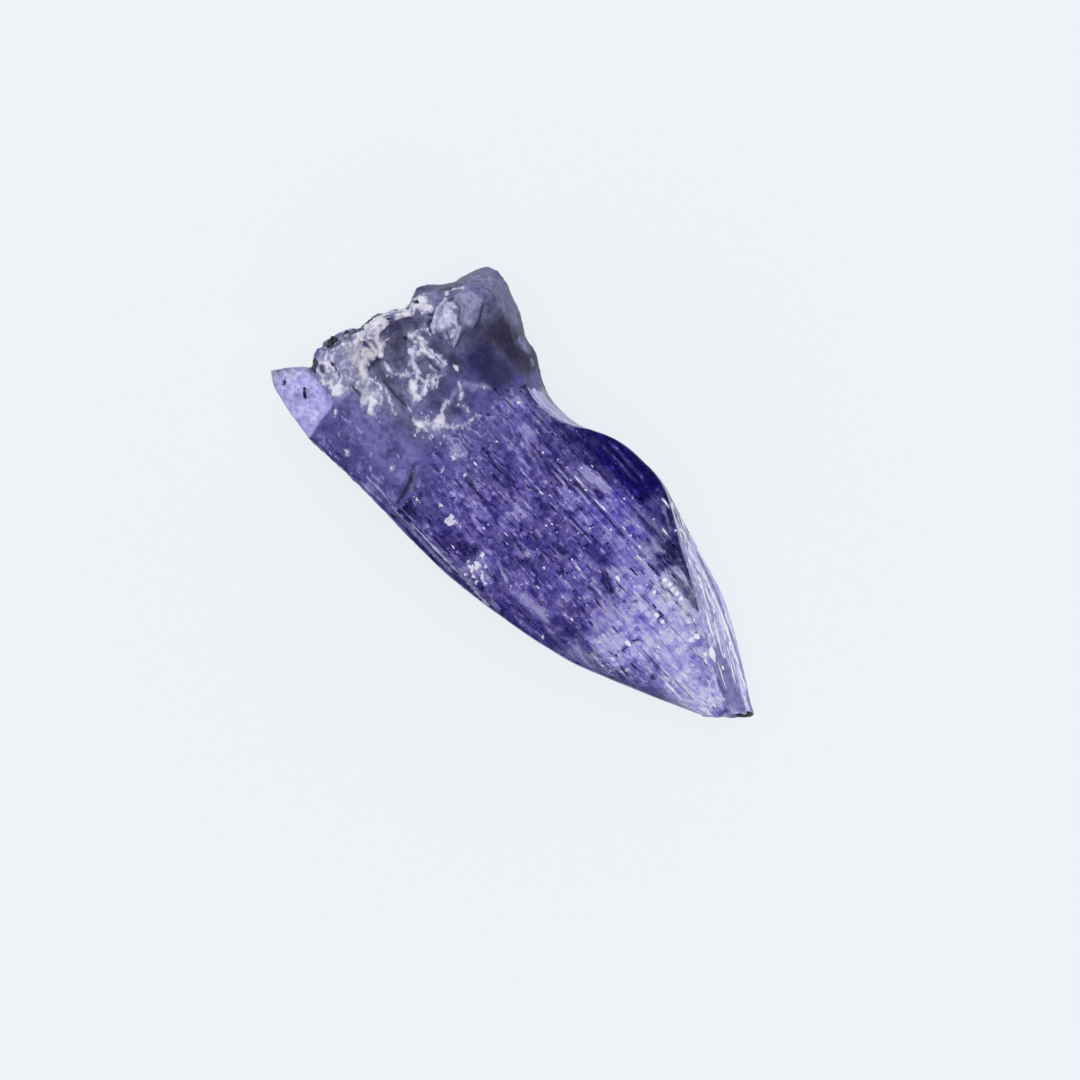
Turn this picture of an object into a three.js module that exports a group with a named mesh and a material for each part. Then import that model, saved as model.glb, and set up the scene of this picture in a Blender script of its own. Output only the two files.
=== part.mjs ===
/**
 * Rough tanzanite: one bladed zoisite crystal, broken off its rock at one end and drawn
 * out to a chipped, chisel-like tip at the other.
 *
 * Millimetres, +Z up. The origin lies under the middle of the crystal's box, +X runs
 * along the growth axis towards the tip, and the crystal rests on a small cleavage flat.
 *
 * The surface is a loft. Six ridge lines run from the broken end to the tip, and every
 * ring of the loft passes through all six. Between two ridges lies one crystal face, a
 * little swollen. Both ends close on a fracture surface.
 */
import * as THREE from 'three';

// ---------------------------------------------------------------- driving dimensions

/** The six ridge lines, as [x, y, z] points from the broken end to the tip. */
const RIDGES = {
	frontUpper: [
		[-10.4, 3, 4.6], [-9.6, 4.1, 5], [-8.6, 4.5, 5.1], [-7.4, 4.2, 5.1], [-6, 3.6, 5.1],
		[-4.8, 3.0, 5.3], [-3.6, 2.75, 5.5], [-2.4, 2.98, 5.7], [-1.2, 3.72, 5.7], [-0.2, 4.18, 5.65],
		[1.2, 4.37, 5.6], [2.4, 4.33, 5.6], [3.3, 4.0, 5.6], [4.2, 3.5, 5.5], [6, 2.6, 5],
		[8.5, 1.35, 4.2], [10.5, 0.35, 3.4], [11.9, -0.2, 2.8],
	],
	upperEdge: [
		[-10.1, 4.5, 3.2], [-9.65, 5.15, 3.5], [-8.9, 5.38, 3.6], [-8, 5.13, 3.5], [-7.2, 4.9, 3.4],
		[-6.3, 4.45, 3.2], [-5.4, 4.2, 3.1], [-4.3, 3.6, 3.1], [-3.4, 3.38, 3.1], [-2.3, 3.4, 3.2],
		[-1.1, 3.7, 3.4], [0, 4.1, 3.5], [1.4, 4.25, 3.5], [2.6, 4.25, 3.4], [4.4, 3.93, 3.2],
		[6.4, 3.43, 3], [7.9, 3, 2.8], [9.4, 2.28, 2.6], [11, 1.4, 2.4], [12.65, 0.43, 2.1],
	],
	backUpper: [
		[-10, 2.6, 1], [-8.5, 3, 0.55], [-6, 2.4, 0.2], [-4, 1.7, 0], [-2, 1.8, -0.1],
		[0, 2.1, -0.15], [3, 2, 0], [5, 1.7, 0.3], [8, 1.1, 0.95], [10.5, 0.6, 1.4], [12.5, 0.2, 1.6],
	],
	backLower: [
		[-11, -3.2, 1.3], [-9.5, -3.4, 0.8], [-7, -3.1, 0.3], [-4, -2.8, 0], [0, -2.9, -0.1],
		[3, -2.6, 0.05], [6, -2.1, 0.5], [9, -1.3, 1.1], [11.3, -0.95, 1.5],
	],
	lowerEdge: [
		[-12.65, -4.4, 2.4], [-12.3, -4.68, 2.4], [-11.6, -4.98, 2.4], [-10.6, -5.15, 2.4],
		[-9.2, -5.24, 2.5], [-7.1, -5.02, 2.7], [-4.8, -5, 2.8], [-2.6, -5.02, 2.8],
		[-0.6, -4.88, 2.8], [1.9, -4.46, 2.7], [3.9, -4.02, 2.6], [5.6, -3.54, 2.4], [7, -2.96, 2.2],
		[8.9, -2.12, 2], [11.15, -1.02, 1.9],
	],
	frontLower: [
		[-12.4, -4.35, 3.6], [-11.5, -4.98, 4], [-10.5, -5.26, 4.3], [-9.2, -5.38, 4.6],
		[-7.1, -5.18, 4.8], [-4.8, -5.15, 4.9], [-2.6, -5.18, 4.95], [-0.6, -5.04, 4.95],
		[1.9, -4.62, 4.85], [3.9, -4.18, 4.6], [5.6, -3.68, 4.25], [7, -3.08, 3.85],
		[8.9, -2.22, 3.25], [11.15, -1.1, 2.45],
	],
};

/** The six faces in turn: the ridges on their two sides, mesh steps across, and swelling. */
const FACES = [
	{ name: 'front', from: 'frontUpper', to: 'frontLower', steps: 26, swell: 0.55 },
	{ name: 'lowerSide', from: 'frontLower', to: 'lowerEdge', steps: 5, swell: 0.12 },
	{ name: 'lowerBack', from: 'lowerEdge', to: 'backLower', steps: 8, swell: 0.2 },
	{ name: 'underside', from: 'backLower', to: 'backUpper', steps: 10, swell: 0.18 },
	{ name: 'upperBack', from: 'backUpper', to: 'upperEdge', steps: 7, swell: 0.2 },
	{ name: 'flange', from: 'upperEdge', to: 'frontUpper', steps: 5, swell: 0.08 },
];

/** Height of the cleavage flat that the crystal rests on. */
const REST_HEIGHT = 0;

/** Rings along the crystal, and how much closer they lie at the broken end. */
const RING_COUNT = 54;
const RING_CROWDING = 0.35;

/** Rings on each end's fracture surface, how far its middle stands out, and its unevenness. */
const END_RINGS = 6;
const BREAK = { dome: 0.3, uneven: 0.4 };
const CHIP = { dome: 0.1, uneven: 0.05 };

/** Rounded heaps and hollows of the broken end: centre, radii along x and y, height. */
const MOUNDS = [
	{ name: 'lobe', x: -8.9, y: 4.4, rx: 1.2, ry: 0.9, height: 0.55 },
	{ name: 'recess', x: -5.9, y: 3.5, rx: 1.4, ry: 0.9, height: -0.95 },
	{ name: 'dark hollow', x: -10.1, y: 0.3, rx: 1, ry: 0.8, height: -0.45 },
	{ name: 'second hollow', x: -9.1, y: -1.1, rx: 1, ry: 0.35, height: -0.3 },
	{ name: 'shelf', x: -6.6, y: 1.2, rx: 1.1, ry: 1.3, height: -0.3 },
];

/** Plates standing above or below the surface: centre, half sizes, turn in degrees, height. */
const PLATES = [
	{ name: 'lilac block', x: -11.5, y: -4.6, hx: 1.95, hy: 1.5, turn: -5, height: -0.75 },
	{ name: 'grey plate', x: -8.95, y: 2.9, hx: 0.75, hy: 1.2, turn: 20, height: 0.3 },
];
const PLATE_EDGE = 0.3;

/** Ribs of crust and crystal on the broken end: a line of [x, y] points, width, height. */
const RIBS = [
	{ name: 'crust rib', line: [[-11.2, -0.3], [-10.3, -1], [-9.3, -1.9], [-8.3, -2.6]], width: 0.5, height: 0.3 },
	{ name: 'break rim', line: [[-10.6, 2.4], [-11, 1.2], [-11.6, -1.2], [-11.7, -3]], width: 0.5, height: 0.25 },
	{ name: 'neck step', line: [[-5, 0.4], [-5.7, -1.2], [-5.3, -2.6], [-4.7, -4]], width: 0.3, height: -0.14 },
];

/** Nicks (and, below zero, teeth) in the rim of the break: place along y, half width, depth. */
const NICKS = [
	{ y: -3.5, width: 0.55, depth: 0.4 },
	{ y: 1.4, width: 0.5, depth: 0.12 },
	{ y: 2.6, width: 0.4, depth: -0.22 },
];
const NICK_FADE = 0.06;

/** Roughness of the skin: heights at the break, on the body and at the tip. */
const ROUGH_BREAK = 0.16;
const ROUGH_BODY = 0.025;
const ROUGH_TIP = 0.05;
const ROUGH_BREAK_ENDS = -5.5;
const ROUGH_BREAK_FADE = 4;
const ROUGH_TIP_STARTS = 10;
const ROUGH_TIP_FULL = 12;

/** Waves that make the skin uneven: how fast each runs along x, y and z, and its bending. */
const WAVES = [
	{ run: [2.1, 1.3, 0], bend: 1.7, bentAlong: [0, 0.7, 1.9], strength: 1 },
	{ run: [1.2, -2.6, 0.8], bend: 1.4, bentAlong: [2.3, 0, 0], strength: 1 },
	{ run: [4.3, 2.9, 0.9], bend: 1.1, bentAlong: [-1, 3.1, 0], strength: 0.6 },
];

/** Growth ribs along the front face: [width of one rib, height, offset] in millimetres. */
const GROWTH_RIBS = [[0.87, 0.02, 0.2], [2.3, 0.04, 0.9]];

const CRYSTAL_COLOUR = 0x5d5596;
const CRYSTAL_DULLNESS = 0.3;

// ---------------------------------------------------------------- the surface

const smoothstep = THREE.MathUtils.smoothstep;

/** A ridge line as a smooth curve of y and z over x. */
function ridgeCurve( points ) {

	const heights = points.flatMap( ( [ , y, z ] ) => [ y, z ] );
	const curve = new THREE.CubicInterpolant( points.map( ( [ x ] ) => x ), heights, 2 );
	const start = points[ 0 ][ 0 ];
	const end = points[ points.length - 1 ][ 0 ];
	return ( s ) => {

		const x = start + s * ( end - start );
		const [ y, z ] = curve.evaluate( x );
		return new THREE.Vector3( x, y, z );

	};

}

const ridge = Object.fromEntries(
	Object.entries( RIDGES ).map( ( [ name, points ] ) => [ name, ridgeCurve( points ) ] ) );

/** Uneven height between -1 and 1, from waves that cross at odd angles. */
function unevenness( p ) {

	let sum = 0;
	let total = 0;
	for ( const wave of WAVES ) {

		const bending = wave.bend * Math.sin( p.dot( new THREE.Vector3( ...wave.bentAlong ) ) );
		sum += wave.strength * Math.sin( p.dot( new THREE.Vector3( ...wave.run ) ) + bending );
		total += wave.strength;

	}

	return sum / total;

}

/** Height of the skin's roughness at a place along the crystal. */
function roughness( x ) {

	const broken = 1 - smoothstep( x, ROUGH_BREAK_ENDS - ROUGH_BREAK_FADE, ROUGH_BREAK_ENDS );
	const tip = smoothstep( x, ROUGH_TIP_STARTS, ROUGH_TIP_FULL );
	return ROUGH_BODY + ( ROUGH_BREAK - ROUGH_BODY ) * broken + ( ROUGH_TIP - ROUGH_BODY ) * tip;

}

/** Distance in plan from a point to a line of points. */
function distanceToLine( x, y, line ) {

	const point = new THREE.Vector3( x, y, 0 );
	const nearest = new THREE.Vector3();
	const distances = line.slice( 1 ).map( ( end, i ) => {

		const span = new THREE.Line3( new THREE.Vector3( ...line[ i ], 0 ), new THREE.Vector3( ...end, 0 ) );
		return span.closestPointToPoint( point, true, nearest ).distanceTo( point );

	} );
	return Math.min( ...distances );

}

/** How far the front stands above or below its even shape at a place in plan. */
function frontRelief( x, y ) {

	let height = 0;
	for ( const m of MOUNDS ) {

		const reach = ( ( x - m.x ) / m.rx ) ** 2 + ( ( y - m.y ) / m.ry ) ** 2;
		height += m.height * Math.exp( - reach );

	}

	for ( const p of PLATES ) {

		const turn = THREE.MathUtils.degToRad( p.turn );
		const along = ( x - p.x ) * Math.cos( turn ) + ( y - p.y ) * Math.sin( turn );
		const across = ( y - p.y ) * Math.cos( turn ) - ( x - p.x ) * Math.sin( turn );
		const inside = smoothstep( p.hx - Math.abs( along ), 0, PLATE_EDGE )
			* smoothstep( p.hy - Math.abs( across ), 0, PLATE_EDGE );
		height += p.height * inside;

	}

	for ( const rib of RIBS ) {

		height += rib.height * Math.exp( - ( ( distanceToLine( x, y, rib.line ) / rib.width ) ** 2 ) );

	}

	for ( const [ width, rise, offset ] of GROWTH_RIBS ) {

		height += rise * Math.sin( 2 * Math.PI * ( y - offset ) / width );

	}

	return height;

}

/** How far the rim of the break is set back along the crystal at a place across it. */
function rimSetback( y ) {

	return NICKS.reduce( ( sum, n ) => sum + n.depth * Math.exp( - ( ( ( y - n.y ) / n.width ) ** 2 ) ), 0 );

}

/** One closed ring of the loft: s runs from 0 at the broken end to 1 at the tip. */
function ring( s ) {

	const nearBreak = Math.exp( - s / NICK_FADE );
	const centre = new THREE.Vector3();
	for ( const face of FACES ) centre.addScaledVector( ridge[ face.from ]( s ), 1 / FACES.length );

	return FACES.flatMap( ( face ) => {

		const from = ridge[ face.from ]( s );
		const to = ridge[ face.to ]( s );
		const outward = new THREE.Vector3( 0, to.z - from.z, from.y - to.y ).normalize();
		return Array.from( { length: face.steps }, ( _, i ) => {

			const t = i / face.steps;
			const p = from.clone().lerp( to, t ).addScaledVector( outward, face.swell * 4 * t * ( 1 - t ) );
			const frontness = { front: 1, lowerSide: 1 - t, flange: t }[ face.name ] ?? 0;
			p.addScaledVector( p.clone().sub( centre ).setX( 0 ).normalize(), roughness( p.x ) * unevenness( p ) );
			p.x += nearBreak * rimSetback( p.y );
			p.z += frontness * frontRelief( p.x, p.y );
			p.z = Math.max( p.z, REST_HEIGHT );
			return p;

		} );

	} );

}

/** The fracture surface of one end: rings that close from the rim to one middle point. */
function endRings( rim, outward, { dome, uneven } ) {

	const middle = new THREE.Vector3();
	for ( const p of rim ) middle.addScaledVector( p, 1 / rim.length );

	const rings = [];
	for ( let i = 1; i < END_RINGS; i ++ ) {

		const inward = i / END_RINGS;
		rings.push( rim.map( ( p ) => {

			const q = p.clone().lerp( middle, inward );
			q.x += outward * ( dome * ( 1 - ( 1 - inward ) ** 2 ) + uneven * inward * unevenness( q ) );
			return q;

		} ) );

	}

	middle.x += outward * ( dome + uneven * unevenness( middle ) );
	return { rings, middle };

}

/** The whole skin: both end surfaces and the rings between them, as one closed mesh. */
function crystalGeometry() {

	const body = Array.from( { length: RING_COUNT + 1 }, ( _, i ) => {

		const even = i / RING_COUNT;
		return ring( even * ( 1 - RING_CROWDING + RING_CROWDING * even ) );

	} );
	const broken = endRings( body[ 0 ], - 1, BREAK );
	const tip = endRings( body[ RING_COUNT ], 1, CHIP );
	const rings = [ ...broken.rings.reverse(), ...body, ...tip.rings ];

	const around = rings[ 0 ].length;
	const points = [ ...rings.flat(), broken.middle, tip.middle ];
	const brokenMiddle = points.length - 2;
	const tipMiddle = points.length - 1;
	const lastRing = ( rings.length - 1 ) * around;
	const index = [];
	for ( let j = 0; j < around; j ++ ) {

		const next = ( j + 1 ) % around;
		for ( let i = 0; i < lastRing; i += around ) {

			index.push( i + j, i + around + next, i + around + j );
			index.push( i + j, i + next, i + around + next );

		}

		index.push( brokenMiddle, next, j );
		index.push( tipMiddle, lastRing + j, lastRing + next );

	}

	const geometry = new THREE.BufferGeometry().setFromPoints( points );
	geometry.setIndex( index );
	geometry.computeBoundingBox();
	const { min, max } = geometry.boundingBox;
	geometry.translate( - ( min.x + max.x ) / 2, - ( min.y + max.y ) / 2, - min.z );
	return geometry;

}

// ---------------------------------------------------------------- the object

const crystal = new THREE.Mesh(
	crystalGeometry(),
	new THREE.MeshStandardMaterial( { color: CRYSTAL_COLOUR, roughness: CRYSTAL_DULLNESS, metalness: 0, flatShading: true } ),
);
crystal.name = 'tanzanite_crystal';

const group = new THREE.Group();
group.add( crystal );

export default group;
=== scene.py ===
"""Rough tanzanite: a broken, calcite-crusted prism with a pale chipped tip, lying on its cleavage flat."""
from itertools import product

import bpy
import numpy as np
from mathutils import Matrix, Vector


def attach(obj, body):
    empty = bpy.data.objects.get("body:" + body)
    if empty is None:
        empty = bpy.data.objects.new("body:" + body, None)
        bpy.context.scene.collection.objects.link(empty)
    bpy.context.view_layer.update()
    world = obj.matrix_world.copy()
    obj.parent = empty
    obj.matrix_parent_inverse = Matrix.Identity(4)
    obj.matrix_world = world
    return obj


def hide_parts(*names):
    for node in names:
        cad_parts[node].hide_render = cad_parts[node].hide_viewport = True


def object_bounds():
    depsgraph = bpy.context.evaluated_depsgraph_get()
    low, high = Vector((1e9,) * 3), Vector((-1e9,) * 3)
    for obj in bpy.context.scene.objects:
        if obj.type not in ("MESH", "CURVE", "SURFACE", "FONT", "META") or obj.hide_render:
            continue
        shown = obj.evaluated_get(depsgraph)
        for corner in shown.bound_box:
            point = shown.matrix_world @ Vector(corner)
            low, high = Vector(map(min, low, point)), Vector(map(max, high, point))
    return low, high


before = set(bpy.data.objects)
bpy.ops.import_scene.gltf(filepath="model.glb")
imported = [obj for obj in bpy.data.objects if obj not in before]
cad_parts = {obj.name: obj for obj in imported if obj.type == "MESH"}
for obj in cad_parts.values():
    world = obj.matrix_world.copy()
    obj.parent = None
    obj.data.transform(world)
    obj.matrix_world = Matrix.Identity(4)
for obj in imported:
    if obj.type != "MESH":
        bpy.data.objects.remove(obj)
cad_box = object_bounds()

# ---------------------------------------------------------------- the crystal
# One zoisite prism, violet-blue where it is thick and lavender towards the tip. It grew as
# six striated faces around its length, then broke off its rock at one end and chipped at the
# other. The skin is a loft over six ridge lines, with the growth steps and pits cut into it.
MM = 0.001

RIDGES = {
    "front_upper": [
        (-10.4, 3, 4.6), (-9.6, 4.1, 5), (-8.6, 4.5, 5.1), (-7.4, 4.2, 5.1), (-6, 3.6, 5.1),
        (-4.8, 3.0, 5.3), (-3.6, 2.75, 5.5), (-2.4, 2.98, 5.7), (-1.2, 3.72, 5.7), (-0.2, 4.18, 5.65),
        (1.2, 4.37, 5.6), (2.4, 4.33, 5.6), (3.3, 4.0, 5.6), (4.2, 3.5, 5.5), (6, 2.6, 5),
        (8.5, 1.35, 4.2), (10.5, 0.35, 3.4), (11.9, -0.2, 2.8)],
    "upper_edge": [
        (-10.1, 4.5, 3.2), (-9.65, 5.15, 3.5), (-8.9, 5.38, 3.6), (-8, 5.13, 3.5), (-7.2, 4.9, 3.4),
        (-6.3, 4.45, 3.2), (-5.4, 4.2, 3.1), (-4.3, 3.6, 3.1), (-3.4, 3.38, 3.1), (-2.3, 3.4, 3.2),
        (-1.1, 3.7, 3.4), (0, 4.1, 3.5), (1.4, 4.25, 3.5), (2.6, 4.25, 3.4), (4.4, 3.93, 3.2),
        (6.4, 3.43, 3), (7.9, 3, 2.8), (9.4, 2.28, 2.6), (11, 1.4, 2.4), (12.65, 0.43, 2.1)],
    "back_upper": [
        (-10, 2.6, 1), (-8.5, 3, 0.55), (-6, 2.4, 0.2), (-4, 1.7, 0), (-2, 1.8, -0.1), (0, 2.1, -0.15),
        (3, 2, 0), (5, 1.7, 0.3), (8, 1.1, 0.95), (10.5, 0.6, 1.4), (12.5, 0.2, 1.6)],
    "back_lower": [
        (-11, -3.2, 1.3), (-9.5, -3.4, 0.8), (-7, -3.1, 0.3), (-4, -2.8, 0), (0, -2.9, -0.1),
        (3, -2.6, 0.05), (6, -2.1, 0.5), (9, -1.3, 1.1), (11.3, -0.95, 1.5)],
    "lower_edge": [
        (-12.65, -4.6, 2.4), (-12.25, -4.86, 2.4), (-11.6, -5.0, 2.4), (-10.6, -5.15, 2.4),
        (-9.2, -5.24, 2.5), (-7.1, -5.02, 2.7), (-4.8, -5, 2.8), (-2.6, -5.02, 2.8),
        (-0.6, -4.88, 2.8), (1.9, -4.46, 2.7), (3.9, -4.02, 2.6), (5.6, -3.54, 2.4), (7, -2.96, 2.2),
        (8.9, -2.12, 2), (11.15, -1.02, 1.9)],
    "front_lower": [
        (-12.55, -4.62, 3.6), (-12.15, -4.94, 3.8), (-11.5, -5.1, 4), (-10.5, -5.28, 4.3), (-9.2, -5.38, 4.6),
        (-7.1, -5.18, 4.8), (-4.8, -5.15, 4.9), (-2.6, -5.18, 4.95), (-0.6, -5.04, 4.95),
        (1.9, -4.62, 4.85), (3.9, -4.18, 4.6), (5.6, -3.68, 4.25), (7, -3.08, 3.85),
        (8.9, -2.22, 3.25), (11.15, -1.1, 2.45)],
}
# Each face: its name, its two ridges, mesh steps across it, and how far it swells, in mm.
FACES = [
    ("front", "front_upper", "front_lower", 200, 0.55),
    ("lower_side", "front_lower", "lower_edge", 28, 0.12),
    ("lower_back", "lower_edge", "back_lower", 28, 0.2),
    ("underside", "back_lower", "back_upper", 34, 0.18),
    ("upper_back", "back_upper", "upper_edge", 28, 0.2),
    ("flange", "upper_edge", "front_upper", 36, 0.08),
]
FRONT, LOWER_SIDE, LOWER_BACK, UNDERSIDE, UPPER_BACK, FLANGE = range(6)
FRONT_STEPS, FLANGE_STEPS = FACES[FRONT][3], FACES[FLANGE][3]
RINGS = 236
RING_CROWDING = 0.42
BREAK_RINGS = 30
CHIP_RINGS = 9


def noise(p, seed):
    """Smooth noise, -1 to 1: random values on a unit lattice, blended by 3f^2 - 2f^3 on each axis."""
    cell = np.floor(p).astype(np.int64)
    f = p - cell
    f = f * f * (3 - 2 * f)
    total = 0
    for corner in product((0, 1), repeat=3):
        c = cell + np.array(corner)
        mixed = c[..., 0] * 374761393 + c[..., 1] * 668265263 + c[..., 2] * 2147483647 + seed * 974634777
        mixed = (mixed ^ (mixed >> 13)) * 1274126177
        value = ((mixed ^ (mixed >> 16)) & 0xFFFF) / 32767.5 - 1
        total = total + value * np.prod(np.where(np.array(corner) == 1, f, 1 - f), axis=-1)
    return total


def fractal(p, seed, octaves=4):
    """Noise of several sizes: each layer is twice as fine and half as strong as the one before."""
    return sum(noise(p * 2.0**k, seed + k) * 0.5**k for k in range(octaves)) / (2 - 0.5 ** (octaves - 1))


def step(x, low, high):
    """0 below low, 1 above high, and 3u^2 - 2u^3 between them."""
    u = np.clip((x - low) / (high - low), 0, 1)
    return u * u * (3 - 2 * u)


def ridge_at(name, s):
    """A ridge line at shares s of its length: x runs evenly, y and z on cubics with even slopes."""
    knots = np.array(RIDGES[name], float)
    xk, rest = knots[:, 0], knots[:, 1:]
    x = xk[0] + s * (xk[-1] - xk[0])
    slope = np.gradient(rest, xk, axis=0)
    i = np.clip(np.searchsorted(xk, x, side="right") - 1, 0, len(xk) - 2)
    h = (xk[i + 1] - xk[i])[:, None]
    u = (x - xk[i])[:, None] / h
    blend = (2 * u**3 - 3 * u**2 + 1) * rest[i] + (3 * u**2 - 2 * u**3) * rest[i + 1]
    blend += h * ((u**3 - 2 * u**2 + u) * slope[i] + (u**3 - u**2) * slope[i + 1])
    return np.column_stack([x, blend])


def to_line(x, y, line):
    """Distance in plan from points to a line of points."""
    near = np.full(x.shape, np.inf)
    for a, b in zip(line[:-1], line[1:]):
        span = (b[0] - a[0]) ** 2 + (b[1] - a[1]) ** 2
        t = np.clip(((x - a[0]) * (b[0] - a[0]) + (y - a[1]) * (b[1] - a[1])) / span, 0, 1)
        near = np.minimum(near, np.hypot(x - a[0] - t * (b[0] - a[0]), y - a[1] - t * (b[1] - a[1])))
    return near


def outlined(x, y, outline, edge):
    """1 inside a closed outline, 0 outside, and soft over the edge width inside it."""
    closed = outline + outline[:1]
    inside = np.zeros(x.shape, bool)
    for a, b in zip(closed[:-1], closed[1:]):
        crosses = (a[1] > y) != (b[1] > y)
        inside ^= crosses & (x < a[0] + (y - a[1]) * (b[0] - a[0]) / ((b[1] - a[1]) or 1))
    return inside * step(to_line(x, y, closed), 0, edge)


def patch(x, y, centre, half, turn=0.0, edge=0.2):
    """1 inside a turned rectangle, 0 outside, with a soft edge inside it."""
    c, s = np.cos(np.radians(turn)), np.sin(np.radians(turn))
    u = (x - centre[0]) * c + (y - centre[1]) * s
    v = (y - centre[1]) * c - (x - centre[0]) * s
    return step(half[0] - abs(u), 0, edge) * step(half[1] - abs(v), 0, edge)


def heap(x, y, centre, radii):
    """A rounded heap of height 1: exp of minus the squared distance in radii."""
    return np.exp(-(((x - centre[0]) / radii[0]) ** 2) - ((y - centre[1]) / radii[1]) ** 2)


def beside(x, y, line, half):
    """1 on a line of points and less beside it: exp of minus the squared distance in half widths."""
    return np.exp(-((to_line(x, y, line) / half) ** 2))


def strokes(x, y, marks):
    """Strength 0 to 1 of thin marks, each x0, y0, x1, y1, half width: a bell across its length."""
    strength = np.zeros(x.shape)
    for x0, y0, x1, y1, half in marks:
        reach = 3 * half
        near = (x > min(x0, x1) - reach) & (x < max(x0, x1) + reach)
        near &= (y > min(y0, y1) - reach) & (y < max(y0, y1) + reach)
        distance = to_line(x[near], y[near], [(x0, y0), (x1, y1)])
        strength[near] = np.maximum(strength[near], np.exp(-((distance / half) ** 4)))
    return strength


def boxes(x, y, marks, edge):
    """Strength 0 to 1 of soft-edged boxes, each centre x and y, half length, half width, share."""
    strength = np.zeros(x.shape)
    for cx, cy, long, wide, share in marks:
        here = share * patch(x, y, (cx, cy), (long + edge / 2, wide + edge / 2), 0, edge)
        strength = np.maximum(strength, here)
    return strength


# Deep etch pits and grooves of the front: x0, y0, x1, y1, half width, in mm.
GROOVES = [
    (-3.35, -1.72, -2.1, -1.76, 0.09), (-2.35, -0.32, -1.9, -0.34, 0.13),
    (-2.75, -0.72, -2.35, -0.74, 0.09), (-3.9, -0.28, -3.5, -0.28, 0.08), (-2.65, -0.04, -2.5, -0.04, 0.06),
    (-1.38, 1.64, -0.6, 1.64, 0.06), (-0.1, 1.65, 0.45, 1.65, 0.055), (-1.4, 1.16, -0.35, 1.14, 0.05),
    (-0.58, 0.76, -0.2, 0.74, 0.06), (1.05, 1.6, 3.05, 1.59, 0.055), (3.2, 1.6, 4.0, 1.6, 0.035),
    (4.6, 1.56, 5.36, 1.56, 0.075), (0.72, 2.05, 1.15, 2.03, 0.1), (2.2, 2.7, 4.4, 2.68, 0.04),
    (4.85, 2.28, 5.38, 2.3, 0.13), (3.78, 2.2, 3.9, 2.2, 0.07), (0.55, 3.6, 1.75, 3.58, 0.09),
    (0.4, 0.46, 2.4, 0.47, 0.04), (3.4, 0.46, 4.5, 0.46, 0.04), (0.88, 1.12, 0.8, 0.78, 0.05),
    (2.2, 0.2, 2.2, -0.2, 0.045), (0.68, 0.2, 0.68, -0.05, 0.045), (5.42, 0.1, 5.44, -0.4, 0.045),
    (1.35, -0.76, 1.75, -0.77, 0.09), (2.12, -0.76, 2.2, -0.76, 0.07), (0.8, -0.36, 0.9, -0.36, 0.06),
    (1.0, -1.42, 1.7, -1.38, 0.055), (1.2, -1.5, 1.25, -1.75, 0.06), (2.28, -1.38, 2.36, -1.44, 0.08),
    (4.0, -1.83, 4.25, -1.87, 0.07), (4.7, -2.0, 4.95, -2.0, 0.06), (0.55, -2.4, 0.85, -2.42, 0.08),
    (0.2, -2.0, 0.5, -2.05, 0.1), (0.5, -3.7, 0.75, -3.74, 0.09), (1.7, -2.3, 2.0, -2.6, 0.06),
    (3.0, -1.5, 3.5, -1.5, 0.04), (5.5, 1.32, 7.7, 1.3, 0.035), (5.45, 0.42, 9.9, 0.42, 0.032),
    (6.66, 0.5, 6.68, 0.2, 0.05), (6.72, -1.0, 6.62, -1.2, 0.06), (6.62, -1.6, 6.64, -1.85, 0.07),
    (6.55, -2.0, 6.6, -2.2, 0.05), (7.1, -1.15, 8.75, -1.16, 0.03), (9.1, -1.05, 10.3, -1.04, 0.03),
    (8.3, -1.62, 8.5, -1.68, 0.11), (7.3, -1.93, 7.8, -1.88, 0.05), (7.1, -2.33, 7.6, -2.38, 0.07),
    (5.6, 2.0, 5.9, 1.98, 0.05), (4.3, 3.2, 4.9, 2.95, 0.06), (4.6, 2.95, 5.35, 2.8, 0.07),
    (3.2, 3.5, 4.4, 3.08, 0.05), (5.4, 2.85, 5.42, 1.9, 0.04), (-0.3, 2.75, 0.9, 2.72, 0.05),
    (3.6, -0.05, 4.3, -0.45, 0.14), (-4.9, -4.75, -3.5, -4.78, 0.09), (-3.3, -4.76, -2.3, -4.79, 0.08),
    (-1.3, -4.76, -0.6, -4.74, 0.07), (-0.4, -4.72, 1.0, -4.66, 0.07), (-2.6, -4.42, -1.6, -4.42, 0.06),
    (-0.2, -4.4, 0.5, -4.42, 0.07), (-8.0, -4.98, -7.3, -4.84, 0.06), (-7.1, -4.72, -6.2, -4.6, 0.05),
    (-0.5, 3.6, 1.5, 3.6, 0.11), (-1.6, -3.75, -0.9, -3.5, 0.1), (-8.9, -4.9, -7.9, -5.0, 0.08),
    (2.3, -3.9, 3.3, -3.8, 0.06), (-1.9, -2.5, -1.5, -2.5, 0.05), (-0.75, 0.1, -0.3, -0.15, 0.05),
    (-0.4, -1.3, -0.1, -1.5, 0.07), (0.15, -0.9, 0.2, -1.5, 0.05), (0.95, -2.0, 0.98, -2.5, 0.05),
    (-5.6, 1.9, -5.2, 1.8, 0.08)]
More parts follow.
